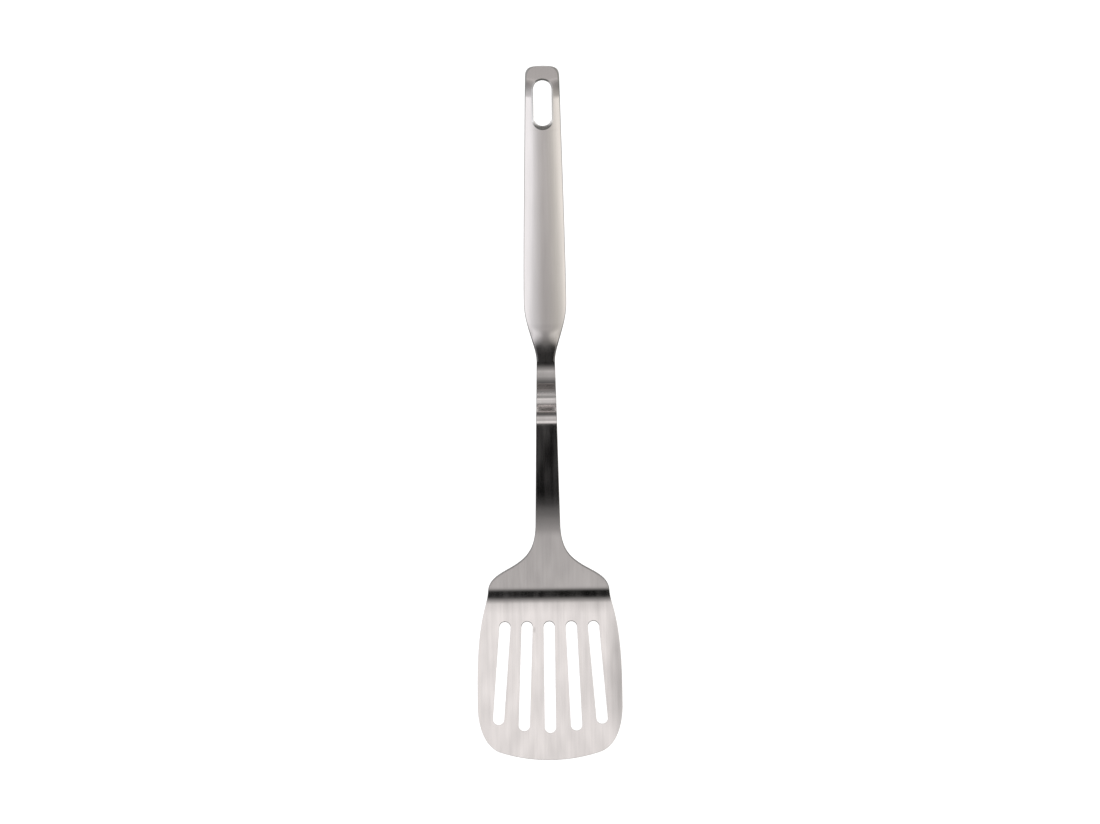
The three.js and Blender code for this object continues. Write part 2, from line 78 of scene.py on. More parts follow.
def size(name, description, millimetres):
    return FloatProperty(
        name=name, description=description, default=millimetres * MM, unit="LENGTH", precision=5
    )


def angle(name, description, degrees):
    return FloatProperty(
        name=name, description=description, default=math.radians(degrees), subtype="ANGLE"
    )


def share(name, description, value):
    return FloatProperty(name=name, description=description, default=value, subtype="FACTOR")


def colour(name, description, rgb):
    return FloatVectorProperty(
        name=name, description=description, default=rgb, subtype="COLOR", min=0, max=1
    )


class SpatulaProfile(bpy.types.PropertyGroup):
    """The side profile, from the blade's tip to the handle's end."""

    sheet: size("Sheet", "Thickness of the blade and neck", 2)
    blade_length: size("Blade length", "Tip to heel bend", 85.8)
    blade_tilt: angle("Blade tilt", "How far the blade is lifted off the table", 9.5)
    blade_bend: size("Blade bend", "Radius of the gentle bend where the blade runs into the heel", 50)
    heel_tilt: angle("Heel tilt", "Slope of the blade between the gentle bend and the heel bend", 0.8)
    heel_bend: size("Heel bend", "Radius of the bend between blade and shoulder", 6.5)
    shoulder_length: size("Shoulder length", "Heel bend to neck bend", 42.3)
    shoulder_rise: angle("Shoulder rise", "Slope of the shoulder", 11)
    shoulder_bend: size("Shoulder bend", "Radius of the bend between shoulder and neck", 133)
    neck_length: size("Neck length", "Neck bend to the crest in front of the dip", 42.5)
    neck_fall: angle("Neck fall", "Slope of the neck towards the dip", 1)
    crest_slope: angle("Crest slope", "Slope between the crest and the dip's lip", 3.5)
    crest_bend: size("Crest bend", "Radius of the gentle bend at the crest", 35)
    dip_slope: angle("Dip slope", "Slope of the dip's front wall", 46)
    dip_back_slope: angle("Dip back slope", "Slope of the dip's back wall", 44)
    dip_lip: size("Dip lip", "Radius of the dip's front lip", 7)
    dip_floor: size("Dip floor", "Radius of the dip's floor", 7.5)
    dip_back: size("Dip back", "Radius of the dip's back lip", 5)
    ramp_slope: angle("Ramp slope", "Slope of the stretch between dip and handle", 14.5)
    ramp_length: size("Ramp length", "Length of that stretch", 7.2)
    ramp_bend: size("Ramp bend", "Radius of the bend at its upper end", 21)
    tongue_seat: size("Tongue seat", "Level stretch between the ramp and the handle's bend", 11.9)
    handle_slope: angle("Handle slope", "Slope of the handle", 15.5)
    handle_bend: size("Handle bend", "Radius of the handle's bend", 70)
    handle_length: size("Handle length", "Handle's bend to its end", 140.15)


class SpatulaBlade(bpy.types.PropertyGroup):
    """The outline of the blade and neck, and the slots."""

    width: size("Blade width", "Widest part of the blade", 73.1)
    tip_radius: size("Tip radius", "Sweep of the front edge", 82)
    tip_width: size("Tip width", "How much of the front edge follows that sweep", 50)
    corner_length: size("Corner length", "Tip to where the sides run straight", 28)
    straight_length: size("Straight length", "Straight part of each side", 8)
    heel_width: size("Heel width", "Width at the heel bend", 61.5)
    heel_flare: angle("Heel flare", "How fast the blade widens in front of the heel", 3)
    shoulder_leave: angle("Shoulder leave", "Slope of the outline behind the heel", 5)
    shoulder_run: size("Shoulder run", "Heel bend to the steepest point of the outline", 10.9)
    shoulder_width: size("Shoulder width", "Width at that point", 41.4)
    shoulder_sweep: angle("Shoulder sweep", "Slope of the outline there", 61)
    shoulder_end: size("Shoulder end", "Heel bend to where the neck's own sides begin", 33)
    neck_taper: angle("Neck taper", "Slope of the outline there", 2.4)
    neck_width: size("Neck width", "Width of the neck at the shoulder", 12.6)
    neck_end_width: size("Neck end width", "Width of the neck at the handle", 9.3)
    tang_length: size("Tang length", "Handle's bend to the tang's end inside the handle", 32)
    tang_width: size("Tang width", "Width of the tang", 6.4)
    tang_shoulder: size("Tang shoulder", "Length over which the neck narrows to the tang", 4)
    edge_round: size("Edge round", "Rounding of the sheet's edges", 0.6)
    slot_count: IntProperty(name="Slots", description="Number of slots", default=5, min=1)
    slot_width: size("Slot width", "Width of a slot", 5.6)
    slot_pitch: size("Slot pitch", "Spacing of the slots at their upper ends", 11.2)
    slot_fan: size("Slot fan", "Upper ends to where the slots' axes would meet", 285)
    slot_heel_margin: size("Heel margin", "Heel bend to the slots' upper ends", 16)
    slot_tip_margin: size("Tip margin", "Tip to the middle slot's lower end", 13.6)
    slot_end_radius: size("End sweep", "Sweep of the slots' lower ends", 80)


class SpatulaHandle(bpy.types.PropertyGroup):
    """The two shells of the handle and the sleeve of the hanging hole."""

    width: size("Handle width", "Widest part of the handle", 21.5)
    end_width: size("End width", "Width near the end", 17)
    end_taper: angle("End taper", "Slope of the sides near the end", 1.35)
    tongue_setback: size("Tongue setback", "Ramp bend to the shells' front edge", 2.3)
    nose_length: size("Nose length", "Shells' front edge to the widest point", 30)
    end_corner: size("End corner", "Length of the rounded corners at the end", 6)
    front_crown: size("Front crown", "Rise of the front shell from edge to middle", 3)
    back_crown: size("Back crown", "Rise of the back shell from edge to middle", 2.4)
    edge_height: size("Edge height", "Outer edge of a shell above the seam", 1.75)
    edge_round: size("Edge round", "Rounding of the shells' edges", 0.8)
    wall: size("Wall", "Thickness of the shells", 0.7)
    seam: size("Seam", "Half of the gap between the shells", 0.06)
    tongue_height: size("Tongue height", "Upper face of the tongue above the profile", 2.3)
    tab_height: size("Tab height", "Upper face of the flat end above the seam", 1.15)
    tab_length: size("Tab length", "Flat end of the handle", 5.4)
    tab_rise: size("Tab rise", "Length over which the crown rises from the flat end", 11.2)
    nose_flat: size("Nose flat", "Flat tongue at the front", 3.4)
    nose_rise: size("Nose rise", "Length over which the crown rises from the tongue", 13)
    hole_length: size("Hole length", "Length of the hanging hole", 23.6)
    hole_width: size("Hole width", "Width of the hanging hole", 8.7)
    hole_margin: size("Hole margin", "Handle's end to the hole", 7)
    sleeve_wall: size("Sleeve wall", "Width of the sleeve around the hole", 1.0)
    lip_round: size("Lip round", "Rounding of the sleeve's inner edges", 0.35)


class SpatulaFinish(bpy.types.PropertyGroup):
    """Colours and finishes of the steel."""

    head: colour("Head steel", "Colour of the blade and neck", (0.735, 0.69, 0.675))
    handle: colour("Handle steel", "Colour of the front shell", (0.77, 0.717, 0.697))
    back: colour("Back steel", "Colour of the back shell", (0.74, 0.69, 0.67))
    # The sleeve is polished steel painted brighter than the handle's, a painted highlight around the hole; the
    # bore's dark colour is painted shade inside the hole's ends.
    sleeve: colour("Sleeve steel", "Colour of the hanging hole's sleeve", (0.95, 0.92, 0.91))
    bore: colour("Bore steel", "Colour inside the ends of the hanging hole", (0.26, 0.25, 0.24))
    blade_edge: colour("Blade edge", "Colour of the blade's bright ground edges", (0.8, 0.76, 0.75))
    # The edge colours from here to the slots' upper ends are painted shade, darker than the steel, for the
    # dark reflections along the rounded edges.
    neck_edge_painted_shade: colour("Neck edge", "Colour of the dark edges from shoulder to nose", (0.16, 0.152, 0.148))
    handle_edge_painted_shade: colour("Handle edge", "Colour of the edges of the handle's shells", (0.46, 0.44, 0.43))
    tab_edge_painted_shade: colour("Tab edge", "Colour of the edges of the handle's flat end", (0.33, 0.32, 0.31))
    slot_end_painted_shade: colour("Slot end", "Colour of the edges at the slots' upper ends", (0.14, 0.134, 0.13))
    head_roughness: share("Head roughness", "Roughness of the brushed blade and neck", 0.12)
    handle_roughness: share("Handle roughness", "Roughness of the brushed handle", 0.13)
    sleeve_roughness: share("Sleeve roughness", "Roughness of the sleeve's polished lips", 0.15)
    bore_roughness: share("Bore roughness", "Roughness inside the ends of the hanging hole", 0.6)
    edge_roughness: share("Edge roughness", "Roughness of the ground edges", 0.35)
    brushing: share("Brushing", "How much the brushing draws reflections out sideways", 0.7)


class SpatulaStage(bpy.types.PropertyGroup):
    """Camera and floor."""

    camera_height: size("Camera height", "Camera above the table", 1400)
    camera_x: size("Camera x", "Camera across the spatula", 1.8)
    camera_y: size("Camera y", "Camera along the spatula", 2.67)
    camera_turn: angle("Camera turn", "Turn of the picture about the view axis", -0.732)
    camera_lens: FloatProperty(
        name="Camera lens", description="Focal length in millimetres", default=90.3, unit="CAMERA"
    )
    camera_sensor: FloatProperty(
        name="Camera sensor", description="Sensor width in millimetres", default=36.0, unit="CAMERA"
    )
    floor_size: size("Floor size", "Side of the floor", 12000)
    floor_gap: size("Floor gap", "How far the floor lies below the steel", 0.05)
    floor: colour("Floor", "Colour of the floor", (0.5, 0.5, 0.5))
    floor_glow: share("Floor glow", "White that the floor adds where it is seen", 0.9)


class SpatulaSettings(bpy.types.PropertyGroup):
    """All sizes and colours of the spatula."""

    profile: PointerProperty(type=SpatulaProfile)
    blade: PointerProperty(type=SpatulaBlade)
    handle: PointerProperty(type=SpatulaHandle)
    finish: PointerProperty(type=SpatulaFinish)
    stage: PointerProperty(type=SpatulaStage)


# Side profile

def stepped(point, length, heading):
    """The point a length away in a heading."""
    return point + length * Vector((math.cos(heading), math.sin(heading)))


def heading_to(begin, end):
    return math.atan2(end.y - begin.y, end.x - begin.x)


def setback(radius, turn):
    """How far from its corner a rounded bend begins."""
    return radius * math.tan(turn / 2)


class SideProfile:
    """A line in the YZ plane through given corners, each rounded to its own radius. Places along it are
    stations, in metres from the tip."""

    def __init__(self, corners):
        self.stretches = []
        self.stations = {}
        self.length = 0.0
        begin = corners[0][1]
        heading = heading_to(begin, corners[1][1])
        for (name, point, radius), (_, after, _) in zip(corners[1:-1], corners[2:]):
            next_heading = heading_to(point, after)
            turn = next_heading - heading
            back = setback(radius, abs(turn))
            straight = (point - begin).length - back
            bend = radius * abs(turn)
            self.add(begin, heading, straight, 0.0)
            self.stations[name] = self.length + bend / 2
            self.add(stepped(begin, straight, heading), heading, bend, turn / bend)
            heading = next_heading
            begin = stepped(point, back, heading)
        self.add(begin, heading, (corners[-1][1] - begin).length, 0.0)

    def add(self, point, heading, length, curvature):
        self.stretches.append((self.length, point, heading, curvature))
        self.length += length

    def at(self, station):
        """The point and the heading at a station."""
        start, point, heading, curvature = self.stretches[0]
        for stretch in self.stretches:
            if stretch[0] <= station:
                start, point, heading, curvature = stretch
        run = station - start
        if not curvature:
            return stepped(point, run, heading), heading
        turned = heading + curvature * run
        step = Vector((math.sin(turned) - math.sin(heading), math.cos(heading) - math.cos(turned)))
        return point + step / curvature, turned

    def place(self, x, station, above=0.0):
        """The point x across, at a station along the profile, and above it."""
        point, heading = self.at(station)
        return Vector((x, point.x - above * math.sin(heading), point.y + above * math.cos(heading)))


def bend_floor(radius, fall, rise):
    """Lowest place of a bend above its corner, between a falling and a rising slope."""
    return setback(radius, fall + rise) * math.sin(fall) + radius * (math.cos(fall) - 1)


def side_profile(sizes):
    """The spatula's profile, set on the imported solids: its heel and its dip stand on the table. The bends at
    the heel and at the dip's lip each follow a gentler one, without a straight stretch between the two."""
    heel_run = setback(sizes.heel_bend, sizes.heel_tilt + sizes.shoulder_rise)
    heel_run += setback(sizes.blade_bend, sizes.blade_tilt - sizes.heel_tilt)
    crest_run = setback(sizes.crest_bend, sizes.crest_slope - sizes.neck_fall)
    crest_run += setback(sizes.dip_lip, sizes.dip_slope - sizes.crest_slope)
    heel_floor = bend_floor(sizes.heel_bend, sizes.heel_tilt, sizes.shoulder_rise)
    dip_height = heel_floor - bend_floor(sizes.dip_floor, sizes.dip_slope, sizes.dip_back_slope)

    heel = Vector((0.0, 0.0))
    blade = stepped(heel, -heel_run, -sizes.heel_tilt)
    tip = stepped(blade, heel_run - sizes.blade_length, -sizes.blade_tilt)
    neck = stepped(heel, sizes.shoulder_length, sizes.shoulder_rise)
    crest = stepped(neck, sizes.neck_length, -sizes.neck_fall)
    lip = stepped(crest, crest_run, -sizes.crest_slope)
    floor = stepped(lip, (lip.y - dip_height) / math.sin(sizes.dip_slope), -sizes.dip_slope)
    dip_rise = crest.y - sizes.ramp_length * math.sin(sizes.ramp_slope) - dip_height
    back = stepped(floor, dip_rise / math.sin(sizes.dip_back_slope), sizes.dip_back_slope)
    ramp = stepped(back, sizes.ramp_length, sizes.ramp_slope)
    handle = stepped(ramp, sizes.tongue_seat, 0.0)
    end = stepped(handle, sizes.handle_length, sizes.handle_slope)

    corners = [
        ("tip", tip, 0.0),
        ("blade", blade, sizes.blade_bend),
        ("heel", heel, sizes.heel_bend),
        ("neck", neck, sizes.shoulder_bend),
        ("crest", crest, sizes.crest_bend),
        ("lip", lip, sizes.dip_lip),
        ("floor", floor, sizes.dip_floor),
        ("back", back, sizes.dip_back),
        ("ramp", ramp, sizes.ramp_bend),
        ("handle", handle, sizes.handle_bend),
        ("end", end, 0.0),
    ]
    low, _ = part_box("blade_and_neck")
    tip_place = low.y + sizes.sheet / 2 * math.sin(sizes.blade_tilt)
    heel_place = Vector((tip_place - tip.x, low.z + sizes.sheet / 2 - heel_floor))
    return SideProfile([(name, heel_place + point, radius) for name, point, radius in corners])


# Outlines, as half widths along the side profile

CURVE_STEPS = 40
TIP_CORNER_HOLDS = 0.31, 0.54  # how long the outlines' curves hold the angles at their two ends
SIDE_HOLDS = 0.73, 0.16
SHOULDER_HOLDS = 0.5, 0.5
NECK_HOLDS = 0.48, 0.57
NOSE_HOLDS = 0.27, 0.39
HANDLE_HOLDS = 0.2, 0.3
CORNER_HOLD, END_HOLD = 0.94, 0.73  # at the handle's end, the first as a share of the corner's length


def curve(begin, end, leave, arrive, holds):
    """Points of a curve from one place to another that leaves and arrives at given angles. Each angle is
    held for its share of the longer side of the curve's run."""
    (x0, y0), (x3, y3) = begin, end
    run = max(abs(x3 - x0), abs(y3 - y0))
    x1, y1 = x0 + run * holds[0] * math.cos(leave), y0 + run * holds[0] * math.sin(leave)
    x2, y2 = x3 - run * holds[1] * math.cos(arrive), y3 - run * holds[1] * math.sin(arrive)
    points = []
    for k in range(1, CURVE_STEPS + 1):
        t = k / CURVE_STEPS
        a, b, c, d = (1 - t) ** 3, 3 * t * (1 - t) ** 2, 3 * t * t * (1 - t), t ** 3
        points.append((a * x0 + b * x1 + c * x2 + d * x3, a * y0 + b * y1 + c * y2 + d * y3))
    return points


def head_outline(blade, profile, tongue):
    """Half of the blank that the head is bent from, from the tip to the tang's end."""
    heel = profile.stations["heel"]
    tip_angle = math.asin(blade.tip_width / 2 / blade.tip_radius)
    corner = (blade.corner_length, blade.width / 2)
    side_end = (blade.corner_length + blade.straight_length, blade.width / 2)
    heel_point = (heel, blade.heel_width / 2)
    steepest = (heel + blade.shoulder_run, blade.shoulder_width / 2)
    neck = (heel + blade.shoulder_end, blade.neck_width / 2)
    points = []
    for k in range(CURVE_STEPS + 1):
        turn = tip_angle * k / CURVE_STEPS
        points.append((blade.tip_radius * (1 - math.cos(turn)), blade.tip_radius * math.sin(turn)))
    points += curve(points[-1], corner, RIGHT_ANGLE - tip_angle, 0, TIP_CORNER_HOLDS)
    points.append(side_end)
    points += curve(side_end, heel_point, 0, -blade.heel_flare, SIDE_HOLDS)
    points += curve(heel_point, steepest, -blade.shoulder_leave, -blade.shoulder_sweep, SHOULDER_HOLDS)
    points += curve(steepest, neck, -blade.shoulder_sweep, -blade.neck_taper, NECK_HOLDS)
    points.append((tongue, blade.neck_end_width / 2))
    for station in (tongue + blade.tang_shoulder, profile.stations["handle"] + blade.tang_length):
        points.append((station, blade.tang_width / 2))
    return points


def handle_outline(blade, handle, profile, tongue):
    """Half of the handle, from the shells' front edge to the end."""
    front = (tongue, blade.neck_end_width / 2)
    widest = (tongue + handle.nose_length, handle.width / 2)
    corner = (profile.length - handle.end_corner, handle.end_width / 2)
    end_holds = (CORNER_HOLD * handle.end_corner / corner[1], END_HOLD)
    points = [front]
    points += curve(front, widest, 0, 0, NOSE_HOLDS)
    points += curve(widest, corner, 0, -handle.end_taper, HANDLE_HOLDS)
    points += curve(corner, (profile.length, 0.0), 0, -RIGHT_ANGLE, end_holds)
    return points


def half_width(points, station):
    """The half width at a station, read off an outline's points."""
    for (s0, h0), (s1, h1) in zip(points, points[1:]):
        if station <= s1:
            return h0 + (h1 - h0) * max(0.0, station - s0) / max(s1 - s0, 1e-9)
    return points[-1][1]


def spaced(begin, end, step):
    """Even places from begin to end, at most a step apart."""
    count = math.ceil((end - begin) / step)
    return [begin + (end - begin) * k / count for k in range(count + 1)]


# Meshes

MERGE_DISTANCE = 0.004 * MM
SHARP_EDGE = math.radians(40)


def painted_mesh(name, bm, *materials):
    """A mesh from its faces, with the materials that their indices stand for."""
    mesh = bpy.data.meshes.new(name)
    bm.to_mesh(mesh)
    bm.free()
    for material in materials:
        mesh.materials.append(material)
    return mesh


def new_piece(name, mesh, node):
    """A finished piece, riding on the body and standing for its node."""
    piece = bpy.data.objects.new(name, mesh)
    bpy.context.scene.collection.objects.link(piece)
    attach(piece, "root")
    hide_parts(node)


def linked_helper(mesh):
    helper = bpy.data.objects.new("helper", mesh)
    bpy.context.scene.collection.objects.link(helper)
    return helper


def evaluated_mesh(helper):
    """A plain mesh of what a helper's modifiers make. The helper goes."""
    bpy.context.view_layer.update()
    graph = bpy.context.evaluated_depsgraph_get()
    evaluated = helper.evaluated_get(graph)
    mesh = bpy.data.meshes.new_from_object(evaluated, preserve_all_data_layers=True, depsgraph=graph)
    bpy.data.objects.remove(helper)
    return mesh


def modified(mesh, **modifiers):
    """The mesh after modifiers, each given as its kind and settings."""
    helper = linked_helper(mesh)
    for kind, settings in modifiers.items():
        modifier = helper.modifiers.new(kind.title(), kind)
        for key, value in settings.items():
            setattr(modifier, key, value)
    return evaluated_mesh(helper)


def smooth(mesh):
    mesh.shade_smooth()
    mesh.set_sharp_from_angle(angle=SHARP_EDGE)


# Nodes

def add_node(tree, kind, inputs=(), **settings):
    """A new node with its settings. Inputs, by name or number, are linked to an output or given a value."""
    node = tree.nodes.new(kind)
    for key, value in settings.items():
        setattr(node, key, value)
    for key, value in dict(inputs).items():
        if isinstance(value, bpy.types.NodeSocket):
            tree.links.new(value, node.inputs[key])
        else:
            node.inputs[key].default_value = value
    return node


def maths(tree, operation, *values):
    """The result of an operation on values and outputs."""
    return add_node(tree, "ShaderNodeMath", enumerate(values), operation=operation).outputs[0]


def ranged(tree, value, low, high, to=(0.0, 1.0), **settings):
    """Where a value lies between two others, from 0 to 1 or in another range."""
    inputs = {"Value": value, "From Min": low, "From Max": high, "To Min": to[0], "To Max": to[1]}
    return add_node(tree, "ShaderNodeMapRange", inputs, **settings).outputs["Result"]


def colour_ramp(tree, value, stops, interpolation="LINEAR"):
    """Colours over a value, given as stops from 0 to 1 and the colour at each."""
    node = add_node(tree, "ShaderNodeValToRGB", {"Fac": value})
    node.color_ramp.interpolation = interpolation
    elements = node.color_ramp.elements
    while len(elements) < len(stops):
        elements.new(0.5)
    for element, (place, tone) in zip(elements, stops):
        element.position = place
        element.color = (*tone, 1.0)
    return node.outputs["Color"]


def new_group(name, kind, inputs, outputs):
    """A node group with its sockets, each a name and a kind, and these sockets as they are inside it."""
    tree = bpy.data.node_groups.new(name, kind)
    for way, sockets in (("INPUT", inputs), ("OUTPUT", outputs)):
        for key, socket in sockets.items():
            tree.interface.new_socket(key, in_out=way, socket_type="NodeSocket" + socket)
    return tree, add_node(tree, "NodeGroupInput").outputs, add_node(tree, "NodeGroupOutput").inputs


# Head

SLOT_END_STEPS = 14
SLOT_END_SHARE = 0.499  # radius of a slot's ends as a share of its width, just short of touching


def slotted_plate_tree():
    """Fills a closed outline and leaves a fan of slots with round ends open in it."""
    inputs = {"Outline": "Geometry", "Slots": "Int", "Material": "Material"}
    for key in ("Slot Width", "Pitch", "Fan Radius", "Upper End", "Lower End", "End Sweep"):
        inputs[key] = "Float"
    tree, given, result = new_group("Slotted plate", "GeometryNodeTree", inputs, {"Plate": "Geometry"})
    tree.is_modifier = True
    width, upper_end = given["Slot Width"], given["Upper End"]

    def find(operation, *values):
        return maths(tree, operation, *values)

    begin = add_node(tree, "GeometryNodeRepeatInput")
    finish = add_node(tree, "GeometryNodeRepeatOutput")
    begin.pair_with_output(finish)
    tree.links.new(given["Slots"], begin.inputs["Iterations"])

    middle = find("DIVIDE", find("SUBTRACT", given["Slots"], 1.0), 2.0)
    upper_x = find("MULTIPLY", find("SUBTRACT", begin.outputs["Iteration"], middle), given["Pitch"])
    slope = find("DIVIDE", upper_x, given["Fan Radius"])
    fan = find("ARCTANGENT", slope)
    reach = find("SUBTRACT", upper_end, given["Lower End"])
    spread = find("ADD", upper_x, find("MULTIPLY", reach, slope))
    sweep = find("MULTIPLY", given["End Sweep"], 2.0)
    lower_end = find("ADD", given["Lower End"], find("DIVIDE", find("POWER", spread, 2.0), sweep))
    run = find("SUBTRACT", upper_end, lower_end)
    length = find("ADD", find("DIVIDE", run, find("COSINE", fan)), width)
    mid_x = find("ADD", upper_x, find("MULTIPLY", find("MULTIPLY", run, slope), 0.5))
    mid_s = find("MULTIPLY", find("ADD", upper_end, lower_end), 0.5)

    slot = add_node(tree, "GeometryNodeCurvePrimitiveQuadrilateral", {"Width": width, "Height": length})
    rounding = {"Curve": slot.outputs["Curve"], "Count": SLOT_END_STEPS, "Limit Radius": True}
    rounding["Radius"] = find("MULTIPLY", width, SLOT_END_SHARE)
    rounded = add_node(tree, "GeometryNodeFilletCurve", rounding, mode="POLY")
    place = add_node(tree, "ShaderNodeCombineXYZ", {"X": mid_x, "Y": mid_s})
    turn = add_node(tree, "ShaderNodeCombineXYZ", {"Z": fan})
    placing = {"Translation": place.outputs[0], "Rotation": turn.outputs[0]}
    placed = add_node(tree, "GeometryNodeTransform", {"Geometry": rounded.outputs["Curve"], **placing})
    gather = add_node(tree, "GeometryNodeJoinGeometry", {0: begin.outputs["Geometry"]})
    tree.links.new(placed.outputs["Geometry"], gather.inputs[0])
    tree.links.new(gather.outputs[0], finish.inputs["Geometry"])

    outline = add_node(tree, "GeometryNodeMeshToCurve", {"Mesh": given["Outline"]})
    join = add_node(tree, "GeometryNodeJoinGeometry", {0: outline.outputs["Curve"]})
    tree.links.new(finish.outputs["Geometry"], join.inputs[0])
    fill = add_node(tree, "GeometryNodeFillCurve", {"Curve": join.outputs[0]}, mode="NGONS")
    real = add_node(tree, "GeometryNodeRealizeInstances", {0: fill.outputs[0]}).outputs[0]
    paint = add_node(tree, "GeometryNodeSetMaterial", {"Geometry": real, "Material": given["Material"]})
    tree.links.new(paint.outputs["Geometry"], result["Plate"])
    return tree


def slotted_plate(outline, inputs):
    """The flat part of the blade, filled in from its outline, in the plane of the blank."""
    mesh = bpy.data.meshes.new("blade outline")
    edges = [(k, (k + 1) % len(outline)) for k in range(len(outline))]
    mesh.from_pydata([(x, s, 0.0) for x, s in outline], edges, [])
    helper = linked_helper(mesh)
    modifier = helper.modifiers.new("Slotted plate", "NODES")
    modifier.node_group = slotted_plate_tree()
    for item in modifier.node_group.interface.items_tree:
        if item.in_out == "INPUT" and item.name in inputs:
            modifier[item.identifier] = inputs[item.name]
    return evaluated_mesh(helper)


HEAD_COLUMNS = 32
BEND_STEP = 1.2 * MM  # between the rows of the bent stretch
PLATE_MARGIN = 1.5 * MM  # slots' upper ends to the first of those rows
LEAST_GAP = 0.2 * MM  # between that row and the outline's points in front of it
EDGE, SLOT_EDGE = 1, 2  # material indices, after the brushed steel's 0
EDGE_STEPS = 3
BEVEL_ANGLE = math.radians(50)
SLOTS_INSET = 5 * MM  # from the blade's sides to the field that holds all slots
EDGE_ROOM = 1 * MM  # room for the rounded edges around that field


def make_head(settings):
    """Blade and neck: the slotted blank, bent along the profile, with the sheet's thickness and edges."""
    sizes, blade, form = settings.profile, settings.blade, HandleForm(settings)
    profile = form.profile
    outline = head_outline(blade, profile, form.tongue)
    slots_end = profile.stations["heel"] - blade.slot_heel_margin
    flat_end = slots_end + PLATE_MARGIN

    def column(station, j):
        return half_width(outline, station) * (2 * j / HEAD_COLUMNS - 1)

    right = [(half, s) for s, half in outline if s < flat_end - LEAST_GAP]
    junction = [(column(flat_end, j), flat_end) for j in range(HEAD_COLUMNS, -1, -1)]
    left = [(-x, s) for x, s in reversed(right[1:])]
    steel = head_steel(settings.finish, profile)
    plate = slotted_plate(
        right + junction + left,
        {
            "Slots": blade.slot_count,
            "Slot Width": blade.slot_width,
            "Pitch": blade.slot_pitch,
            "Fan Radius": blade.slot_fan,
            "Upper End": slots_end - blade.slot_width / 2,
            "Lower End": blade.slot_tip_margin + blade.slot_width / 2,
            "End Sweep": blade.slot_end_radius,
            "Material": steel,
        },
    )
    bm = bmesh.new()
    bm.from_mesh(plate)
    rows = []
    for station in spaced(flat_end, outline[-1][0], BEND_STEP):
        rows.append([bm.verts.new((column(station, j), station, 0.0)) for j in range(HEAD_COLUMNS + 1)])
    for near, far in zip(rows, rows[1:]):
        for j in range(HEAD_COLUMNS):
            bm.faces.new((near[j], near[j + 1], far[j + 1], far[j]))
    bmesh.ops.remove_doubles(bm, verts=bm.verts, dist=MERGE_DISTANCE)
    bmesh.ops.recalc_face_normals(bm, faces=bm.faces)
    grain = bm.loops.layers.uv.new(GRAIN_MAP)
    for face in bm.faces:
        for loop in face.loops:
            loop[grain].uv = loop.vert.co.xy
    for vert in bm.verts:
        x, station, _ = vert.co
        vert.co = profile.place(x, station, form.seam(station) if station > form.tongue else 0.0)

    slots_bottom, slots_top = (profile.at(station)[0].x for station in (blade.slot_tip_margin, slots_end))
    edges = edge_steel("Head edges", settings), slot_edge_steel(settings.finish, slots_top)
    mesh = painted_mesh("blade and neck sheet", bm, steel, *edges)
    mesh.shade_smooth()
    bevel = dict(width=blade.edge_round, segments=EDGE_STEPS, limit_method="ANGLE", angle_limit=BEVEL_ANGLE)
    mesh = modified(
        mesh,
        SOLIDIFY=dict(thickness=sizes.sheet, offset=0.0, use_even_offset=True, material_offset_rim=EDGE),
        BEVEL=dict(bevel, material=EDGE),
        WEIGHTED_NORMAL=dict(weight=100, keep_sharp=True),
    )
    for face in mesh.polygons:
        x, y, _ = face.center
        within = abs(x) < blade.width / 2 - SLOTS_INSET
        if within and slots_bottom - EDGE_ROOM < y < slots_top + EDGE_ROOM and face.material_index == EDGE:
            face.material_index = SLOT_EDGE
    new_piece("blade_and_neck_steel", mesh, "blade_and_neck")


# Handle

RING_STEP = 1.0 * MM
HOLE_RING_STEP = 0.8 * MM
ARC_RINGS = 16  # in each quarter of the hole's round ends
END_RINGS = 20  # between the hole and the handle's end
CROWN_COLUMNS = 14
ROUND_STEPS = 6
HOLE_SHARE = 0.9  # most of the half width that the hole may take
ROUND_SHARES = 0.6, 0.8  # most of the half width and of the height that an edge's rounding may take
PROBE_INSET = 0.3  # where the crown's slope at the edge is measured, as a share of the rounding
PROBE_STEP = 0.05 * MM


def smoothstep(low, high, value):
    """From 0 to 1 between two values, without a kink in slope or bend at either."""
    t = min(1.0, max(0.0, (value - low) / (high - low)))
    return t ** 3 * (t * (6 * t - 15) + 10)


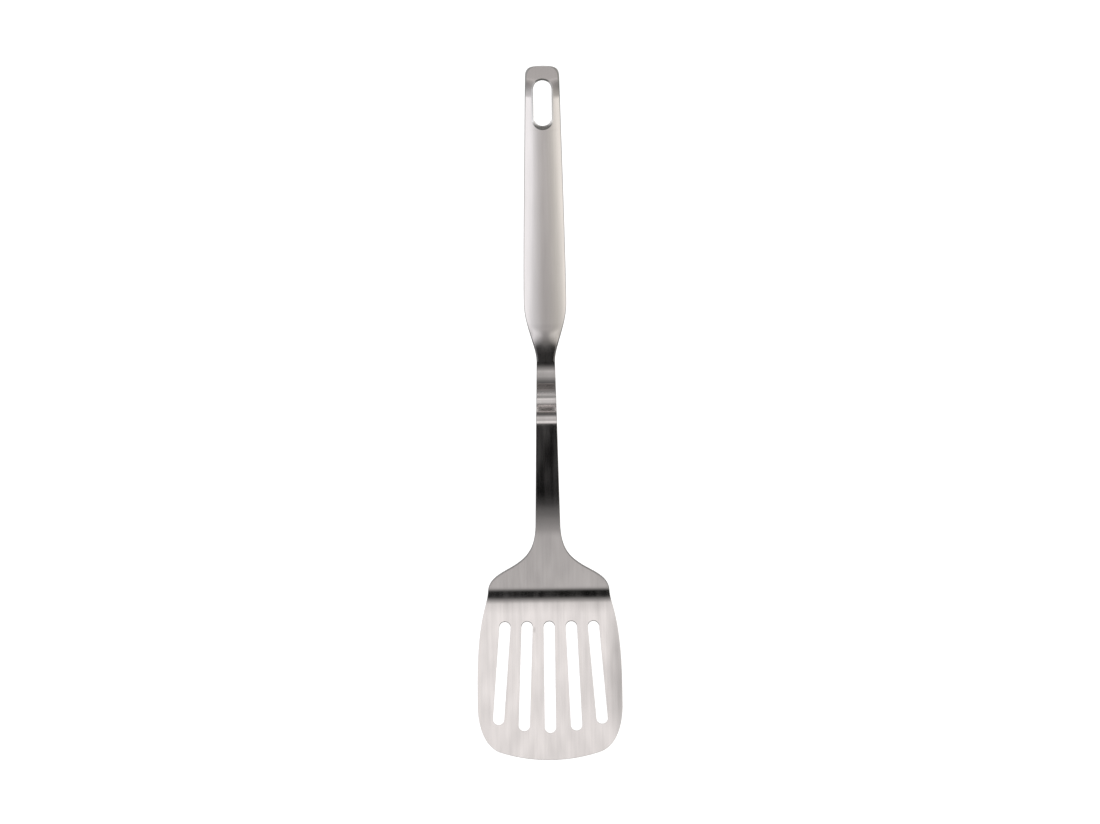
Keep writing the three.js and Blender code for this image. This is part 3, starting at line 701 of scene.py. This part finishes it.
class HandleForm:
    """The outer form of the handle's two shells, and the hanging hole through them."""

    def __init__(self, settings):
        self.sizes = settings.handle
        self.profile = side_profile(settings.profile)
        self.tongue = self.profile.stations["ramp"] + self.sizes.tongue_setback
        self.end = self.profile.length
        self.outline = handle_outline(settings.blade, self.sizes, self.profile, self.tongue)
        self.hole = self.end - self.sizes.hole_margin - self.sizes.hole_length / 2
        self.straight = (self.sizes.hole_length - self.sizes.hole_width) / 2

    def half(self, station):
        return half_width(self.outline, station)

    def seam(self, station):
        """The seam's height above the profile: the ridge of the front shell runs straight, so the seam drops
        where the crown is."""
        return self.sizes.tongue_height - self.height(0.0, station, self.sizes.front_crown)

    def place(self, x, station, side, above):
        """A point on the front side (1) or the back side (-1), a height away from the seam."""
        return self.profile.place(x, station, self.seam(station) + side * above)

    def height(self, x, station, crown):
        """Outer height of a shell above the seam: an arched crown that fades into the tongue and the tab."""
        sizes = self.sizes
        widest = sizes.width / 2
        radius = (widest ** 2 + crown ** 2) / (2 * crown)
        half = min(self.half(station), widest)
        reach = min(abs(x), half)
        rise = math.sqrt(radius ** 2 - reach ** 2) - math.sqrt(radius ** 2 - half ** 2)
        nose_start = self.tongue + sizes.nose_flat
        nose = smoothstep(nose_start, nose_start + sizes.nose_rise, station)
        tab = smoothstep(sizes.tab_length, sizes.tab_length + sizes.tab_rise, self.end - station)
        thinning = smoothstep(self.tongue, self.tongue + sizes.nose_length, station)
        body_edge = sizes.tongue_height + (sizes.edge_height - sizes.tongue_height) * thinning
        return sizes.tab_height + (body_edge - sizes.tab_height) * tab + nose * tab * rise

    def hole_half(self, station):
        """Half width of the hanging hole with its sleeve at a station."""
        radius = self.sizes.hole_width / 2 + self.sizes.sleeve_wall
        past = max(0.0, abs(station - self.hole) - self.straight)
        return math.sqrt(max(0.0, radius ** 2 - past ** 2))

    def stations(self):
        """Where the shells have rings: closer together at the ends of the hole and at the rounded end."""
        radius = self.sizes.hole_width / 2 + self.sizes.sleeve_wall
        hole_start, hole_end = self.hole - self.straight, self.hole + self.straight
        turns = [RIGHT_ANGLE * k / ARC_RINGS for k in range(1, ARC_RINGS + 1)]
        found = spaced(self.tongue, hole_start - radius, RING_STEP)
        found += [hole_start - radius * math.cos(turn) for turn in turns]
        found += spaced(hole_start, hole_end, HOLE_RING_STEP)[1:]
        found += [hole_end + radius * math.sin(turn) for turn in turns]
        last, left = found[-1], self.end - found[-1]
        found += [last + left * math.sin(RIGHT_ANGLE * k / END_RINGS) for k in range(1, END_RINGS)]
        return found + [self.end]

    def ring(self, station, crown):
        """Half a ring of a shell, as places across and heights above the seam, from the middle or the hole's
        edge out to the edge and down to the seam."""
        sizes, half = self.sizes, self.half(station)
        hole = min(self.hole_half(station), HOLE_SHARE * half)
        probe = max(half - PROBE_INSET * sizes.edge_round, 0.0)
        lift = self.height(max(probe - PROBE_STEP, 0.0), station, crown) - self.height(probe, station, crown)
        slope = math.atan2(lift, PROBE_STEP)
        room = self.height(half, station, crown) - sizes.seam
        radius = min(sizes.edge_round, ROUND_SHARES[0] * half, ROUND_SHARES[1] * room)
        touch = half - radius + radius * math.sin(slope)
        drop = self.height(touch, station, crown) - radius * math.cos(slope)
        points = []
        for j in range(CROWN_COLUMNS + 1):
            x = hole + (touch - hole) * j / CROWN_COLUMNS
            points.append((x, self.height(x, station, crown)))
        for k in range(1, ROUND_STEPS + 1):
            turn = slope + (RIGHT_ANGLE - slope) * k / ROUND_STEPS
            points.append((half - radius + radius * math.sin(turn), drop + radius * math.cos(turn)))
        return points + [(half, sizes.seam)]


def make_shell(settings, name, node, side, crown, steel):
    """One shell of the handle, on the front side (1) or the back side (-1). Its grain map is unrolled over
    the edge and keeps the two halves apart."""
    form = HandleForm(settings)
    sizes = form.sizes
    bm = bmesh.new()
    grain = bm.loops.layers.uv.new(GRAIN_MAP)
    flat = {}
    for mirror in (1, -1):
        rows = []
        for station in form.stations():
            row = []
            for x, above in form.ring(station, crown):
                vert = bm.verts.new(form.place(mirror * x, station, side, above))
                flat[vert] = (mirror * (abs(x) + sizes.width - abs(above)), station)
                row.append(vert)
            rows.append(row)
        for near, far in zip(rows, rows[1:]):
            for j in range(len(near) - 1):
                corners = (near[j], near[j + 1], far[j + 1], far[j])
                face = bm.faces.new(corners if mirror * side > 0 else corners[::-1])
                face.material_index = EDGE if j >= CROWN_COLUMNS else 0
                for loop in face.loops:
                    loop[grain].uv = flat[loop.vert]
    bmesh.ops.remove_doubles(bm, verts=bm.verts, dist=MERGE_DISTANCE)
    mesh = painted_mesh(name, bm, steel, edge_steel(name + " edges", settings))
    mesh = modified(mesh, SOLIDIFY=dict(thickness=sizes.wall, offset=-1.0, use_even_offset=True))
    smooth(mesh)
    new_piece(name, mesh, node)


def make_shells(settings):
    """Both shells, each with its own steel."""
    finish, sizes = settings.finish, settings.handle
    # Painted shade on the front shell's nose.
    painted_shade_and_marks = in_metres(HANDLE_PAINTED_SHADE, side_profile(settings.profile).length, -1)
    finishing = finish.handle_roughness, finish.brushing
    front = brushed_steel("Handle steel", finish.handle, *finishing, painted_shade_and_marks=painted_shade_and_marks)
    back = brushed_steel("Handle back steel", finish.back, *finishing)
    make_shell(settings, "handle_front", "handle_front_shell", 1, sizes.front_crown, front)
    make_shell(settings, "handle_back", "handle_back_shell", -1, sizes.back_crown, back)


HOLE_STEPS = 32  # around each end of the hole
LIP_STEPS = 8
LAST_OPEN_ROW = 2 * (LIP_STEPS + 1)  # the row of faces after it closes the tube inside the shells
BORE = 1  # material index, after the sleeve's 0
BORE_START = 9.5 * MM  # from the hole's middle along Y to where the dark ends of the bore begin
SLEEVE_ROW = 0.4 * MM  # width of a row of faces on the grain map
# The bore's dark bands at both ends are painted shade.
BORE_BANDS = (-11.4, "bore"), (-9.6, "sleeve"), (9.0, "sleeve"), (10.4, "bore")  # from that middle
BORE_EDGE_TINT = 0.2  # what is left of reflections at grazing angles in the bore


def sleeve_rings(form):
    """The sleeve's rings around the hole, each from the front lip's outer edge through the bore to the back
    lip's."""
    sizes = form.sizes
    section = [(sizes.sleeve_wall, 0.0)]
    for k in range(LIP_STEPS + 1):
        bend = RIGHT_ANGLE * k / LIP_STEPS
        section.append((sizes.lip_round * (1 - math.sin(bend)), sizes.lip_round * (1 - math.cos(bend))))
    rings = []
    for end in (1, -1):
        for k in range(HOLE_STEPS + 1):
            turn = end * RIGHT_ANGLE + (2 * k / HOLE_STEPS - 1) * RIGHT_ANGLE
            ring = []
            for side, crown in ((1, sizes.front_crown), (-1, sizes.back_crown)):
                for outward, drop in section[::side]:
                    radius = sizes.hole_width / 2 + outward
                    x = radius * math.cos(turn)
                    s = form.hole + end * form.straight + radius * math.sin(turn)
                    ring.append(form.place(x, s, side, form.height(x, s, crown) - drop))
            rings.append(ring)
    return rings


def make_sleeve(settings):
    """The oblong tube through both shells, with rolled lips. Its bore is painted dark at both ends of the
    hole, a painted shade, and the rest is polished steel painted brighter than the handle's, a painted
    highlight around the lips.
    """
    form, finish = HandleForm(settings), settings.finish
    middle = form.place(0.0, form.hole, 1, 0.0).y
    bm = bmesh.new()
    grain = bm.loops.layers.uv.new(GRAIN_MAP)
    rings = [[bm.verts.new(place) for place in ring] for ring in sleeve_rings(form)]
    around = 0.0
    for near, far in zip(rings, rings[1:] + rings[:1]):
        step = (far[1].co - near[1].co).length
        at_end = abs((near[1].co.y + far[1].co.y) / 2 - middle) > BORE_START
        for j in range(len(near)):
            k = (j + 1) % len(near)
            face = bm.faces.new((near[j], far[j], far[k], near[k]))
            face.material_index = BORE if at_end and j <= LAST_OPEN_ROW else 0
            spots = ((j, around), (j, around + step), (j + 1, around + step), (j + 1, around))
            for loop, (row, along) in zip(face.loops, spots):
                loop[grain].uv = (row * SLEEVE_ROW, along)
        around += step
    bmesh.ops.remove_doubles(bm, verts=bm.verts, dist=MERGE_DISTANCE)
    bmesh.ops.recalc_face_normals(bm, faces=bm.faces)
    # Painted: the sleeve's bright bands as a highlight, the bore's dark ends as shade.
    bands = bands_around(middle, finish, BORE_BANDS)
    steel = banded_steel("Sleeve steel", bands[1:3], finish.sleeve_roughness)
    bore = banded_steel("Bore steel", bands, finish.bore_roughness, BORE_EDGE_TINT)
    mesh = painted_mesh("sleeve", bm, steel, bore)
    smooth(mesh)
    new_piece("hanging_hole_lining", mesh, "hanging_hole_sleeve")


# Steel

GRAIN_LAYERS = {  # width and length in millimetres, and detail
    "Lines": (0.22, 18, 2),
    "Streaks": (1.6, 45, 3),
    "Clouds": (6, 20, 1),
}
LINES = 0.35  # strength of the brushed steel's lines
EVEN = {"Lines": 0.5, "Streaks": 0.5, "Clouds": 0.5}  # strengths on steel that isn't brushed
SHADES = 0.93, 1.07  # darkest and lightest of the brushed steel's grain
EDGE_SHADES = 0.9, 1.1  # the same on the edges
UNEVEN = 0.03  # how far the roughness goes up and down
GRAIN_BUMP, GRAIN_DEPTH = 0.15, 0.01 * MM


def grain_group():
    """Brushing along the steel: lines, streaks and soft clouds, as a shade and a height around a half."""
    found = bpy.data.node_groups.get("Brushed grain")
    if found:
        return found
    inputs = {"Place": "Vector", **{key: "Float" for key in GRAIN_LAYERS}}
    outputs = {"Shade": "Float", "Height": "Float"}
    tree, given, result = new_group("Brushed grain", "ShaderNodeTree", inputs, outputs)
    layers = {}
    for key, (across, along, detail) in GRAIN_LAYERS.items():
        scale = (1 / (across * MM), 1 / (along * MM), 1.0)
        place = add_node(tree, "ShaderNodeMapping", {"Vector": given["Place"], "Scale": scale}).outputs[0]
        noise = add_node(tree, "ShaderNodeTexNoise", {"Vector": place, "Scale": 1.0, "Detail": detail})
        layers[key] = maths(tree, "MULTIPLY", maths(tree, "SUBTRACT", noise.outputs[0], 0.5), given[key])
    total = maths(tree, "ADD", maths(tree, "ADD", layers["Lines"], layers["Streaks"]), layers["Clouds"])
    tree.links.new(maths(tree, "ADD", total, 0.5), result["Shade"])
    tree.links.new(maths(tree, "ADD", layers["Lines"], 0.5), result["Height"])
    return tree


def oval_patch_group():
    """A soft oval patch on the steel: one in its middle, nothing at its rim."""
    found = bpy.data.node_groups.get("Oval patch")
    if found:
        return found
    inputs = {key: "Vector" for key in ("Place", "Middle", "Reach")}
    tree, given, result = new_group("Oval patch", "ShaderNodeTree", inputs, {"Mask": "Float"})
    offset = given["Place"]
    for step, other in (("SUBTRACT", given["Middle"]), ("DIVIDE", given["Reach"])):
        offset = add_node(tree, "ShaderNodeVectorMath", {0: offset, 1: other}, operation=step).outputs[0]
    far = add_node(tree, "ShaderNodeVectorMath", {0: offset}, operation="LENGTH").outputs["Value"]
    tree.links.new(ranged(tree, far, 1.0, 0.0, interpolation_type="SMOOTHSTEP"), result["Mask"])
    return tree


def new_steel(name):
    """A new metal, with its tree and its shader."""
    material = bpy.data.materials.new(name)
    material.use_nodes = True
    shader = material.node_tree.nodes["Principled BSDF"]
    shader.inputs["Metallic"].default_value = 1.0
    return material, material.node_tree, shader


def brushed_steel(name, base, roughness, brushing, streaks=0.6, clouds=0.6, painted_shade_and_marks=(), rough_patches=()):
    """Steel brushed along its length, which draws reflections out sideways. Painted shade and marks are darker
    patches, each with a middle, a reach and a strength. Rough patches are the same for roughness."""
    material, tree, shader = new_steel(name)
    place = add_node(tree, "ShaderNodeUVMap", uv_map=GRAIN_MAP).outputs["UV"]
    strengths = {"Lines": LINES, "Streaks": streaks, "Clouds": clouds}
    grain = add_node(tree, "ShaderNodeGroup", node_tree=grain_group(), inputs={"Place": place, **strengths})
    shade = grain.outputs["Shade"]

    def patched(value, operation, patches):
        for middle, reach, strength in patches:
            inputs = {"Place": place, "Middle": (*middle, 0.0), "Reach": (*reach, 1.0)}
            patch = add_node(tree, "ShaderNodeGroup", node_tree=oval_patch_group(), inputs=inputs)
            value = maths(tree, operation, value, maths(tree, "MULTIPLY", patch.outputs["Mask"], strength))
        return value

    dark, light = ((*[min(1.0, level * part) for part in base], 1.0) for level in SHADES)
    tones = {"Factor": patched(shade, "SUBTRACT", painted_shade_and_marks), "A": dark, "B": light}
    tint = add_node(tree, "ShaderNodeMix", data_type="RGBA", clamp_factor=False, inputs=tones)
    uneven = ranged(tree, shade, 0.0, 1.0, (roughness + UNEVEN, roughness - UNEVEN))
    relief = {"Height": grain.outputs["Height"], "Strength": GRAIN_BUMP, "Distance": GRAIN_DEPTH}
    links = {
        "Base Color": tint.outputs["Result"],
        "Roughness": patched(uneven, "ADD", rough_patches),
        "Normal": add_node(tree, "ShaderNodeBump", relief).outputs["Normal"],
        "Tangent": add_node(tree, "ShaderNodeTangent", direction_type="UV_MAP", uv_map=GRAIN_MAP).outputs[0],
    }
    for key, output in links.items():
        tree.links.new(output, shader.inputs[key])
    shader.inputs["Anisotropic"].default_value = brushing
    return material


# Darker patches on the blade: the first and the three along the heel are painted shade, the second is a darker
# patch beside the first, the last a small dark scuff.
HEAD_SHADE_AND_SCUFF = (  # middle and reach, across and along from the tip, in millimetres, and strength
    ((35.5, 41), (10, 44), 2.8),
    ((20, 45), (6, 32), 0.8),
    ((0, 80), (70, 7.5), 1.2),
    ((-24, 79), (14, 7), 0.5),
    ((24, 79), (14, 8), 1.0),
    ((-7.5, 65.5), (1.0, 2.5), 1.8),
)
# Painted shade that darkens the front shell's nose across its width and on both flanks.
HANDLE_PAINTED_SHADE = (  # the same on the front shell's grain map, along from the handle's end
    ((0, 133), (80, 3.9), 1.9),
    ((-27.5, 136.3), (4, 4.4), 2.0),
    ((28, 136.3), (8, 4.6), 2.8),
)
HEAD_STREAKS, HEAD_CLOUDS = 1.2, 2.0
DIP_REACH, DIP_ROUGHNESS = (30 * MM, 14 * MM), 0.2  # the rougher patch in the dip


def in_metres(patches, start=0.0, way=1):
    """Patches given in millimetres from a start, one way or the other along the steel."""
    found = []
    for (x, s), (width, length), strength in patches:
        found.append(((x * MM, start + way * s * MM), (width * MM, length * MM), strength))
    return found


def head_steel(finish, profile):
    """The blade's and neck's steel: darker in patches on the blade, mostly painted shade and one small scuff,
    rougher in the dip.
    """
    dip = (profile.stations["lip"] + profile.stations["back"]) / 2
    return brushed_steel(
        "Head steel", finish.head, finish.head_roughness, finish.brushing, HEAD_STREAKS, HEAD_CLOUDS,
        in_metres(HEAD_SHADE_AND_SCUFF), (((0.0, dip), DIP_REACH, DIP_ROUGHNESS),),
    )


def banded_steel(name, bands, roughness, edge_tint=1.0):
    """Steel without brushing, a little uneven. Its colour follows bands, as places along Y and colours."""
    material, tree, shader = new_steel(name)
    place = add_node(tree, "ShaderNodeTexCoord").outputs["Object"]
    grain = add_node(tree, "ShaderNodeGroup", node_tree=grain_group(), inputs={"Place": place, **EVEN})
    along = add_node(tree, "ShaderNodeSeparateXYZ", {0: place}).outputs["Y"]
    low, high = bands[0][0], bands[-1][0]
    stops = [((spot - low) / (high - low), tone) for spot, tone in bands]
    tone = colour_ramp(tree, ranged(tree, along, low, high), stops)
    shade = ranged(tree, grain.outputs["Shade"], 0.0, 1.0, EDGE_SHADES)
    tint = add_node(tree, "ShaderNodeVectorMath", operation="SCALE", inputs={0: tone, "Scale": shade})
    tree.links.new(tint.outputs[0], shader.inputs["Base Color"])
    shader.inputs["Roughness"].default_value = roughness
    shader.inputs["Specular Tint"].default_value = (edge_tint, edge_tint, edge_tint, 1.0)
    return material


SLOT_BANDS = (-2.6, "blade_edge"), (-1.4, "slot_end_painted_shade")  # from the slots' upper ends
# Where the edges' painted shade begins and ends:
HEEL_FADE = 6 * MM  # in front of the heel, from bright to dark edges
NOSE_DARK = 10 * MM  # how far behind the shells' front edge their edges stay dark
TAB_FADE = 24 * MM, 16 * MM  # from the handle's end, where its edges darken


def bands_around(place, finish, bands):
    """Bands around a place along Y, given in millimetres from it and by the names of their colours."""
    return [(place + offset * MM, getattr(finish, tone)) for offset, tone in bands]


def slot_edge_steel(finish, slots_top):
    """The slots' edges: bright like the blade's, and painted dark around their upper ends, a painted shade."""
    return banded_steel("Slot edges", bands_around(slots_top, finish, SLOT_BANDS), finish.edge_roughness)


def edge_steel(name, settings):
    """Ground edges: bright along the blade; from the shoulder to the nose dark, on the handle duller and at
    its flat end darker, all painted shade that stands for dark reflections along the edges.
    """
    form, finish = HandleForm(settings), settings.finish
    heel = form.profile.stations["heel"]
    stations = (
        (heel - HEEL_FADE, finish.blade_edge),
        (heel, finish.neck_edge_painted_shade),
        (form.tongue + NOSE_DARK, finish.neck_edge_painted_shade),
        (form.tongue + form.sizes.nose_length, finish.handle_edge_painted_shade),
        (form.end - TAB_FADE[0], finish.handle_edge_painted_shade),
        (form.end - TAB_FADE[1], finish.tab_edge_painted_shade),
    )
    bands = [(form.profile.at(station)[0].x, tone) for station, tone in stations]
    return banded_steel(name, bands, finish.edge_roughness)


# Stage

def make_floor(stage):
    """A pale floor that keeps the spatula's shadow and adds white where the camera or the steel sees it."""
    mesh = bpy.data.meshes.new("floor")
    half = stage.floor_size / 2
    corners = [(x * half, y * half, 0.0) for x, y in ((-1, -1), (1, -1), (1, 1), (-1, 1))]
    mesh.from_pydata(corners, [], [(0, 1, 2, 3)])
    floor = bpy.data.objects.new("floor", mesh)
    floor.location.z = -stage.floor_gap
    bpy.context.scene.collection.objects.link(floor)
    material = bpy.data.materials.new("Pale floor")
    material.use_nodes = True
    tree = material.node_tree
    tree.nodes.clear()
    path = add_node(tree, "ShaderNodeLightPath").outputs
    seen = path["Is Camera Ray"]
    for key in ("Is Glossy Ray", "Is Transmission Ray"):
        seen = maths(tree, "MAXIMUM", seen, path[key])
    paint = add_node(tree, "ShaderNodeBsdfDiffuse", {"Color": (*stage.floor, 1.0)})
    strength = maths(tree, "MULTIPLY", seen, stage.floor_glow)
    glow = add_node(tree, "ShaderNodeEmission", {"Strength": strength})
    both = add_node(tree, "ShaderNodeAddShader", {0: paint.outputs[0], 1: glow.outputs[0]})
    add_node(tree, "ShaderNodeOutputMaterial", {"Surface": both.outputs[0]})
    mesh.materials.append(material)
    floor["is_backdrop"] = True


DOME_FRONT_TO_BACK = (  # degrees off the zenith towards +Y, and the light's level
    (-90, 0.1), (-75, 0.12), (-60, 0.18), (-40, 0.3), (-31, 0.42), (-29, 0.46), (-27.5, 0.5), (-26.3, 0.62),
    (-25.2, 0.6), (-24, 0.48), (-21, 0.33), (-18, 0.25), (-14, 0.14), (-9, 0.03), (-5, 0.001), (3, 0.001),
    (4.5, 0.03), (6.5, 0.25), (9, 0.56), (12, 1.04), (15, 1.07), (20, 0.65), (26, 0.55), (36, 0.65),
    (46, 0.7), (56, 0.4), (65, 0.15), (75, 0.1), (90, 0.1),
)
DOME_SIDES = (  # the same for the light at the sides, towards -X and towards +X
    (-90, 0.3, 0.3), (-40, 0.55, 0.55), (-30, 0.6, 0.6), (-27, 0.66, 0.68), (-26, 0.69, 0.7),
    (-25, 0.8, 0.82), (-23.9, 0.93, 0.9), (-22.9, 1.0, 1.0), (-22, 1.06, 1.12), (-21, 1.06, 1.3),
    (-18.5, 1.0, 1.32), (-15, 0.9, 1.25), (-10, 0.93, 1.25), (7, 0.93, 1.2), (10, 1.0, 1.2),
    (30, 1.0, 1.0), (90, 0.3, 0.3),
)
DOME_TINTS = (1.08, 1.11, 1.15), (0.805, 0.806, 0.77)  # of the two sides
SIDE_BLEND = 0.1  # how far off the middle, along X, one side's light still mixes with the other's
SIDE_START, SIDE_FULL = 0.08, 0.52  # how far off the middle the light at the sides begins and is full


def make_dome():
    """A soft studio dome: a dark gap overhead where the camera is, brighter to both sides."""
    world = bpy.data.worlds.new("Studio dome")
    bpy.context.scene.world = world
    world.use_nodes = True
    tree = world.node_tree
    direction = add_node(tree, "ShaderNodeTexCoord").outputs["Generated"]
    parts = add_node(tree, "ShaderNodeSeparateXYZ", {0: direction}).outputs
    along = maths(tree, "MULTIPLY_ADD", parts["Y"], 0.5, 0.5)

    def light(levels, interpolation):
        stops = [((math.sin(math.radians(degrees)) + 1) / 2, tone) for degrees, tone in levels]
        return colour_ramp(tree, along, stops, interpolation)

    def mixed(factor, a, b):
        inputs = {"Factor": factor, "A": a, "B": b}
        return add_node(tree, "ShaderNodeMix", data_type="RGBA", inputs=inputs).outputs["Result"]

    middle = light([(degrees, (level, level, level)) for degrees, level in DOME_FRONT_TO_BACK], "EASE")
    sides = []
    for side, tint in enumerate(DOME_TINTS, start=1):
        sides.append(light([(row[0], [row[side] * part for part in tint]) for row in DOME_SIDES], "LINEAR"))
    both = mixed(ranged(tree, parts["X"], -SIDE_BLEND, SIDE_BLEND), *sides)
    aside = ranged(tree, maths(tree, "ABSOLUTE", parts["X"]), SIDE_START, SIDE_FULL)
    tree.links.new(mixed(aside, middle, both), tree.nodes["Background"].inputs["Color"])


def make_stage(settings):
    """The floor, the light and the camera, which looks straight down."""
    stage = settings.stage
    make_floor(stage)
    make_dome()
    camera = bpy.data.objects.new("camera", bpy.data.cameras.new("camera"))
    camera.data.lens = stage.camera_lens
    camera.data.sensor_width = stage.camera_sensor
    camera.location = (stage.camera_x, stage.camera_y, stage.camera_height)
    camera.rotation_euler = (0.0, 0.0, stage.camera_turn)
    bpy.context.scene.collection.objects.link(camera)
    bpy.context.scene.camera = camera
    bpy.context.scene.view_settings.view_transform = "Standard"


# Operators and panel

class SPATULA_OT_head(bpy.types.Operator):
    """Make the slotted blade and the neck"""

    bl_idname = "spatula.head"
    bl_label = "Blade and Neck"

    def execute(self, context):
        make_head(context.scene.spatula)
        return {"FINISHED"}


class SPATULA_OT_shells(bpy.types.Operator):
    """Make the two shells of the handle"""

    bl_idname = "spatula.shells"
    bl_label = "Handle Shells"

    def execute(self, context):
        make_shells(context.scene.spatula)
        return {"FINISHED"}


class SPATULA_OT_sleeve(bpy.types.Operator):
    """Make the sleeve of the hanging hole"""

    bl_idname = "spatula.sleeve"
    bl_label = "Hole Sleeve"

    def execute(self, context):
        make_sleeve(context.scene.spatula)
        return {"FINISHED"}


class SPATULA_OT_stage(bpy.types.Operator):
    """Make the floor, the light and the camera"""

    bl_idname = "spatula.stage"
    bl_label = "Stage"

    def execute(self, context):
        make_stage(context.scene.spatula)
        return {"FINISHED"}


OPERATORS = (SPATULA_OT_stage, SPATULA_OT_head, SPATULA_OT_shells, SPATULA_OT_sleeve)


class SPATULA_PT_panel(bpy.types.Panel):
    """Lists the steps that make the spatula"""

    bl_label = "Slotted Spatula"
    bl_idname = "SPATULA_PT_panel"
    bl_space_type = "VIEW_3D"
    bl_region_type = "UI"
    bl_category = "Spatula"

    def draw(self, context):
        for operator in OPERATORS:
            self.layout.operator(operator.bl_idname)


CLASSES = (
    SpatulaProfile,
    SpatulaBlade,
    SpatulaHandle,
    SpatulaFinish,
    SpatulaStage,
    SpatulaSettings,
    *OPERATORS,
    SPATULA_PT_panel,
)


def register():
    for item in CLASSES:
        bpy.utils.register_class(item)
    bpy.types.Scene.spatula = PointerProperty(type=SpatulaSettings)


def unregister():
    del bpy.types.Scene.spatula
    for item in reversed(CLASSES):
        bpy.utils.unregister_class(item)


def main():
    register()
    bpy.ops.spatula.stage()
    bpy.ops.spatula.head()
    bpy.ops.spatula.shells()
    bpy.ops.spatula.sleeve()
    boxes = {"cad": CAD_BOX, "visual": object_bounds()}
    {key: [list(corner) for corner in box] for key, box in boxes.items()}


if __name__ == "__main__":
    main()
